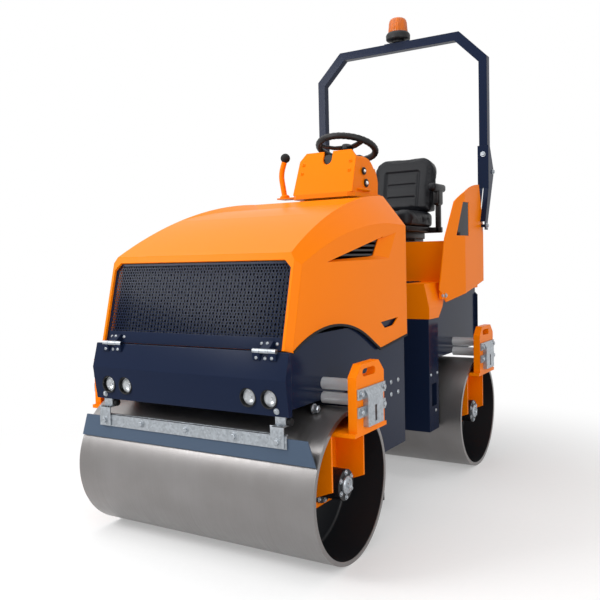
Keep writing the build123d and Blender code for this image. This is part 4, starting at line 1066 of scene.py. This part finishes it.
class ROLLER_OT_steering_wheel(RollerOperator):
    """Make the steering wheel: a gripped rim, three dished spokes and a hub cap."""

    bl_idname = "roller.steering_wheel"
    bl_label = "Steering wheel"

    tilt = math.radians(18)
    rim, grip, ridges = 158, 18, 36
    hub = ((0, -17), (34, -17), (34, 6), (30, 15), (20, 19), (0, 20))
    # Spoke sections: reach from the axis, dip, half width
    spoke = ((24, 0, 22), (70, -9, 17), (120, -8, 15), (156, -2, 17))
    spoke_half_thick = 7

    def execute(self, context):
        mesh = bmesh.new()
        axis = Vector((0, math.sin(self.tilt), math.cos(self.tilt)))
        place = facing((0, REAR_Y - 411, 1808), axis)
        turn = place.to_3x3()
        path = []
        for step, (a, b) in enumerate(circle(72)):
            across = Vector((a, b, 0))
            swell = self.grip * (1 + 0.04 * math.cos(self.ridges * 2 * math.pi * step / 72))
            path.append((place @ (across * self.rim), turn @ across * swell, turn @ Vector((0, 0, swell))))
        sweep(mesh, path, circle(14), closed=True)
        lathe(mesh, self.hub, place, 36)
        for step in range(3):
            angle = math.radians(30 + 120 * step)
            out = Vector((math.cos(angle), math.sin(angle), 0))
            wide = Vector((-out.y, out.x, 0))
            thick = turn @ Vector((0, 0, self.spoke_half_thick))
            bar = []
            for reach, dip, half in self.spoke:
                bar.append((place @ (out * reach + Vector((0, 0, dip))), turn @ wide * half, thick))
            sweep(mesh, bar, ((-1, -0.6), (1, -0.6), (1, 0.6), (0.7, 1), (-0.7, 1), (-1, 0.6)))
        piece = place_piece("steering_wheel_grip", "steering_wheel", "black_plastic", mesh, 50)
        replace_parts(piece, "steering_wheel")
        return {"FINISHED"}


class ROLLER_OT_beacon(RollerOperator):
    """Mould the beacon's ribbed lens over its bulb, and ridge its base."""

    bl_idname = "roller.beacon"
    bl_label = "Beacon"

    shell = ((60, 0), (61, 4), (58, 34), (56, 60), (52, 74), (45, 84), (34, 90), (18, 92), (0, 92))
    lamp = ((0, 0), (24, 0), (24, 24), (14, 34), (14, 56), (8, 64), (0, 66))
    # Base: radius, and height as a share of the whole
    foot = (
        (38, 0), (38, 0.16), (44, 0.2), (70, 0.24), (75, 0.32), (76, 0.72), (72, 0.86), (66, 0.98), (60, 1)
    )

    def execute(self, context):
        lens, base, bulb = bmesh.new(), bmesh.new(), bmesh.new()
        low, high = in_mm(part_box("beacon_lens"))
        centre = (low + high) / 2
        place = facing((centre.x, centre.y, low.z), UP)
        lathe(lens, self.shell, place, 96, 32, 0.8)
        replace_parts(place_piece("beacon_dome", "rops", "amber_lens", lens), "beacon_lens")
        lathe(bulb, self.lamp, place, 32)
        place_piece("beacon_bulb", "rops", "chrome", bulb)
        foot_low, foot_high = in_mm(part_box("beacon_base"))
        tall = foot_high.z - foot_low.z
        profile = [(0, 0), *((radius, share * tall) for radius, share in self.foot), (0, tall)]
        lathe(base, profile, facing((centre.x, centre.y, foot_low.z), UP), 96, 48, 0.5)
        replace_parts(place_piece("beacon_foot", "rops", "black_plastic", base), "beacon_base")
        return {"FINISHED"}


class ROLLER_OT_platform(RollerOperator):
    """Lay a ribbed rubber mat on the operator's platform."""

    bl_idname = "roller.platform"
    bl_label = "Platform mat"

    half, ribs = 340, 24
    # The console's pillar stands on the mat's middle, and the ribs there start behind it
    pillar_half, pillar_back = 172, -366

    def execute(self, context):
        mesh = bmesh.new()
        low, high = in_mm(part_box("platform"))
        top = high.z
        front, back = low.y + 18, REAR_Y - 196
        box(mesh, (-self.half, front, top), (self.half, back, top + 3), 1)
        for step in range(self.ribs):
            x = -self.half + (step + 0.5) * 2 * self.half / self.ribs
            start = REAR_Y + self.pillar_back if abs(x) < self.pillar_half else front
            box(mesh, (x - 5, start + 8, top + 2), (x + 5, back - 8, top + 6), 1.5)
        place_piece("platform_mat", "rear_frame", "black_rubber", mesh)
        return {"FINISHED"}


class ROLLER_OT_rear_lamps(RollerOperator):
    """Rib the rear lamps' lenses inside dark frames."""

    bl_idname = "roller.rear_lamps"
    bl_label = "Rear lamps"

    width, rim, rib = 110, 6, 14

    def execute(self, context):
        lens, frames = bmesh.new(), bmesh.new()
        low, high = in_mm(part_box("rear_lamps"))
        for x0 in (low.x, high.x - self.width):
            box(frames, (x0, low.y, low.z), (x0 + self.width, low.y + 10, high.z), 3)
            for step in range(7):
                x = x0 + self.rim + step * self.rib
                back = high.y - (0 if step % 2 else 2)
                corner = (x + self.rib + 0.2, back, high.z - self.rim)
                box(lens, (x, low.y + 8, low.z + self.rim), corner, 1.5)
        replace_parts(place_piece("rear_lamp_lenses", "rear_frame", "red_lens", lens), "rear_lamps")
        place_piece("rear_lamp_frames", "rear_frame", "black_plastic", frames)
        return {"FINISHED"}


def seen_rays(owner):
    """Give 1 for rays that the eye follows, straight or by way of gloss and glass, and 0 for the rest."""
    ray = add_node(owner, "LightPath")
    seen = ray.outputs["Is Camera Ray"]
    for other in ("Is Glossy Ray", "Is Transmission Ray"):
        either = {"Value": seen, "Value_001": ray.outputs[other]}
        seen = add_node(owner, "Math", either, operation="MAXIMUM").outputs["Value"]
    return seen


class ROLLER_OT_stage(RollerOperator):
    """Set the camera, soft studio lights, pale floor and white surroundings."""

    bl_idname = "roller.stage"
    bl_label = "Stage"

    # Camera in metres and degrees, fitted to the photograph
    place = (1.927, -3.367, 1.197)
    yaw, pitch, roll = 31.537, 3.145, -1.324
    focal_pixels, photo_pixels = 736.97, 600
    floor_half = 30
    # Soft boxes: name, place, what they point at, width in metres, watts
    soft_boxes = (
        ("overhead", (-0.8, -0.6, 4.4), (0, -0.1, 0.8), 4.5, 92),
        ("side", (3.9, -2.7, 2.4), (0.3, 0.1, 0.9), 2.4, 62),
        ("front", (-2.45, -3.45, 2.95), (0, -1.0, 0.5), 1.8, 105),
    )

    def execute(self, context):
        self.camera(context.scene)
        self.floor()
        self.world(context.scene)
        self.lamps()
        context.scene.view_settings.view_transform = "Standard"
        return {"FINISHED"}

    def camera(self, scene):
        """Stand the camera where the photograph was taken."""
        yaw, pitch, roll = (math.radians(a) for a in (self.yaw, self.pitch, self.roll))
        flat = math.cos(pitch)
        ahead = Vector((-math.sin(yaw) * flat, math.cos(yaw) * flat, -math.sin(pitch)))
        level = Vector((math.cos(yaw), math.sin(yaw), 0))
        above = level.cross(ahead)
        right = level * math.cos(roll) + above * math.sin(roll)
        up = above * math.cos(roll) - level * math.sin(roll)
        data = bpy.data.cameras.new("photo_camera")
        data.sensor_width = 36
        data.lens = data.sensor_width * self.focal_pixels / self.photo_pixels
        camera = bpy.data.objects.new("photo_camera", data)
        turn = Matrix((right, up, -ahead)).transposed().to_4x4()
        camera.matrix_world = Matrix.Translation(Vector(self.place)) @ turn
        scene.collection.objects.link(camera)
        scene.camera = camera

    def floor(self):
        """Lay a plain pale floor."""
        mesh = bmesh.new()
        bmesh.ops.create_grid(mesh, x_segments=1, y_segments=1, size=self.floor_half)
        data = bpy.data.meshes.new("floor")
        mesh.to_mesh(data)
        mesh.free()
        floor = bpy.data.objects.new("floor", data)
        bpy.context.scene.collection.objects.link(floor)
        data.materials.append(self.paper())

    def paper(self):
        """White studio paper: matt, and to the eye it fades into white away from the object."""
        material, place = start_material("White studio paper")
        tooth = add_node(material, "TexNoise", {"Vector": place, "Scale": 1 / (25 * MM)}).outputs["Fac"]
        whites = {"Factor": tooth, "A_Color": linear("#F4F4F4"), "B_Color": linear("#F8F8F8")}
        tone = add_node(material, "Mix", whites, data_type="RGBA")
        matt = add_node(material, "BsdfDiffuse", {"Color": tone.outputs[2]})
        glow = add_node(material, "Emission", {"Color": linear("#FFFFFF"), "Strength": 1.0})
        away = add_node(material, "VectorMath", {"Vector": place}, operation="LENGTH").outputs["Value"]
        reach = {"Value": away, "From Min": 1.2, "From Max": 2.7, "To Min": 0.32, "To Max": 1.0}
        fade = add_node(material, "MapRange", reach, interpolation_type="SMOOTHSTEP").outputs["Result"]
        both = {"Value": seen_rays(material), "Value_001": fade}
        share = add_node(material, "Math", both, operation="MULTIPLY").outputs["Value"]
        layers = {"Fac": share, "Shader": matt.outputs[0], "Shader_001": glow.outputs[0]}
        surface = add_node(material, "MixShader", layers)
        add_node(material, "OutputMaterial", {"Surface": surface.outputs[0]})
        return material

    def world(self, scene):
        """Surround the scene with white to the eye, and with an even low light elsewhere."""
        world = bpy.data.worlds.new("Studio")
        world.use_nodes = True
        world.node_tree.nodes.clear()
        strength = add_node(world, "MapRange", {"Value": seen_rays(world), "To Min": 0.52, "To Max": 1.0})
        white = {"Color": linear("#FFFFFF"), "Strength": strength.outputs["Result"]}
        light = add_node(world, "Background", white)
        add_node(world, "OutputWorld", {"Surface": light.outputs["Background"]})
        scene.world = world

    def lamps(self):
        """Hang a wide soft box overhead, and stand one at the left side and one before the right corner."""
        for name, place, target, width, power in self.soft_boxes:
            data = bpy.data.lights.new(name, "AREA")
            data.size = width
            data.energy = power
            lamp = bpy.data.objects.new(name, data)
            lamp.location = place
            lamp.rotation_euler = (Vector(target) - Vector(place)).to_track_quat("-Z", "Y").to_euler()
            bpy.context.scene.collection.objects.link(lamp)


STEPS = (
    ROLLER_OT_finishes,
    ROLLER_OT_grille,
    ROLLER_OT_hood_trim,
    ROLLER_OT_headlights,
    ROLLER_OT_bolts,
    ROLLER_OT_scraper,
    ROLLER_OT_hubs,
    ROLLER_OT_seat,
    ROLLER_OT_console,
    ROLLER_OT_steering_wheel,
    ROLLER_OT_beacon,
    ROLLER_OT_platform,
    ROLLER_OT_rear_lamps,
    ROLLER_OT_stage,
)


class ROLLER_PT_dressing(Panel):
    """List the dressing steps in the sidebar."""

    bl_idname = "ROLLER_PT_dressing"
    bl_label = "Roller dressing"
    bl_space_type = "VIEW_3D"
    bl_region_type = "UI"
    bl_category = "Roller"

    def draw(self, context):
        for step in STEPS:
            self.layout.operator(step.bl_idname)


CLASSES = (RollerColours, RollerSizes, *STEPS, ROLLER_PT_dressing)


def register():
    """Register the classes and hang their settings on the scene."""
    for kind in CLASSES:
        bpy.utils.register_class(kind)
    bpy.types.Scene.roller_colours = PointerProperty(type=RollerColours)
    bpy.types.Scene.roller_sizes = PointerProperty(type=RollerSizes)


def unregister():
    """Take the settings and classes away again."""
    del bpy.types.Scene.roller_sizes
    del bpy.types.Scene.roller_colours
    for kind in reversed(CLASSES):
        bpy.utils.unregister_class(kind)


def main():
    """Dress the roller step by step."""
    register()
    for step in STEPS:
        group, name = step.bl_idname.split(".")
        getattr(getattr(bpy.ops, group), name)()


if __name__ == "__main__":
    main()
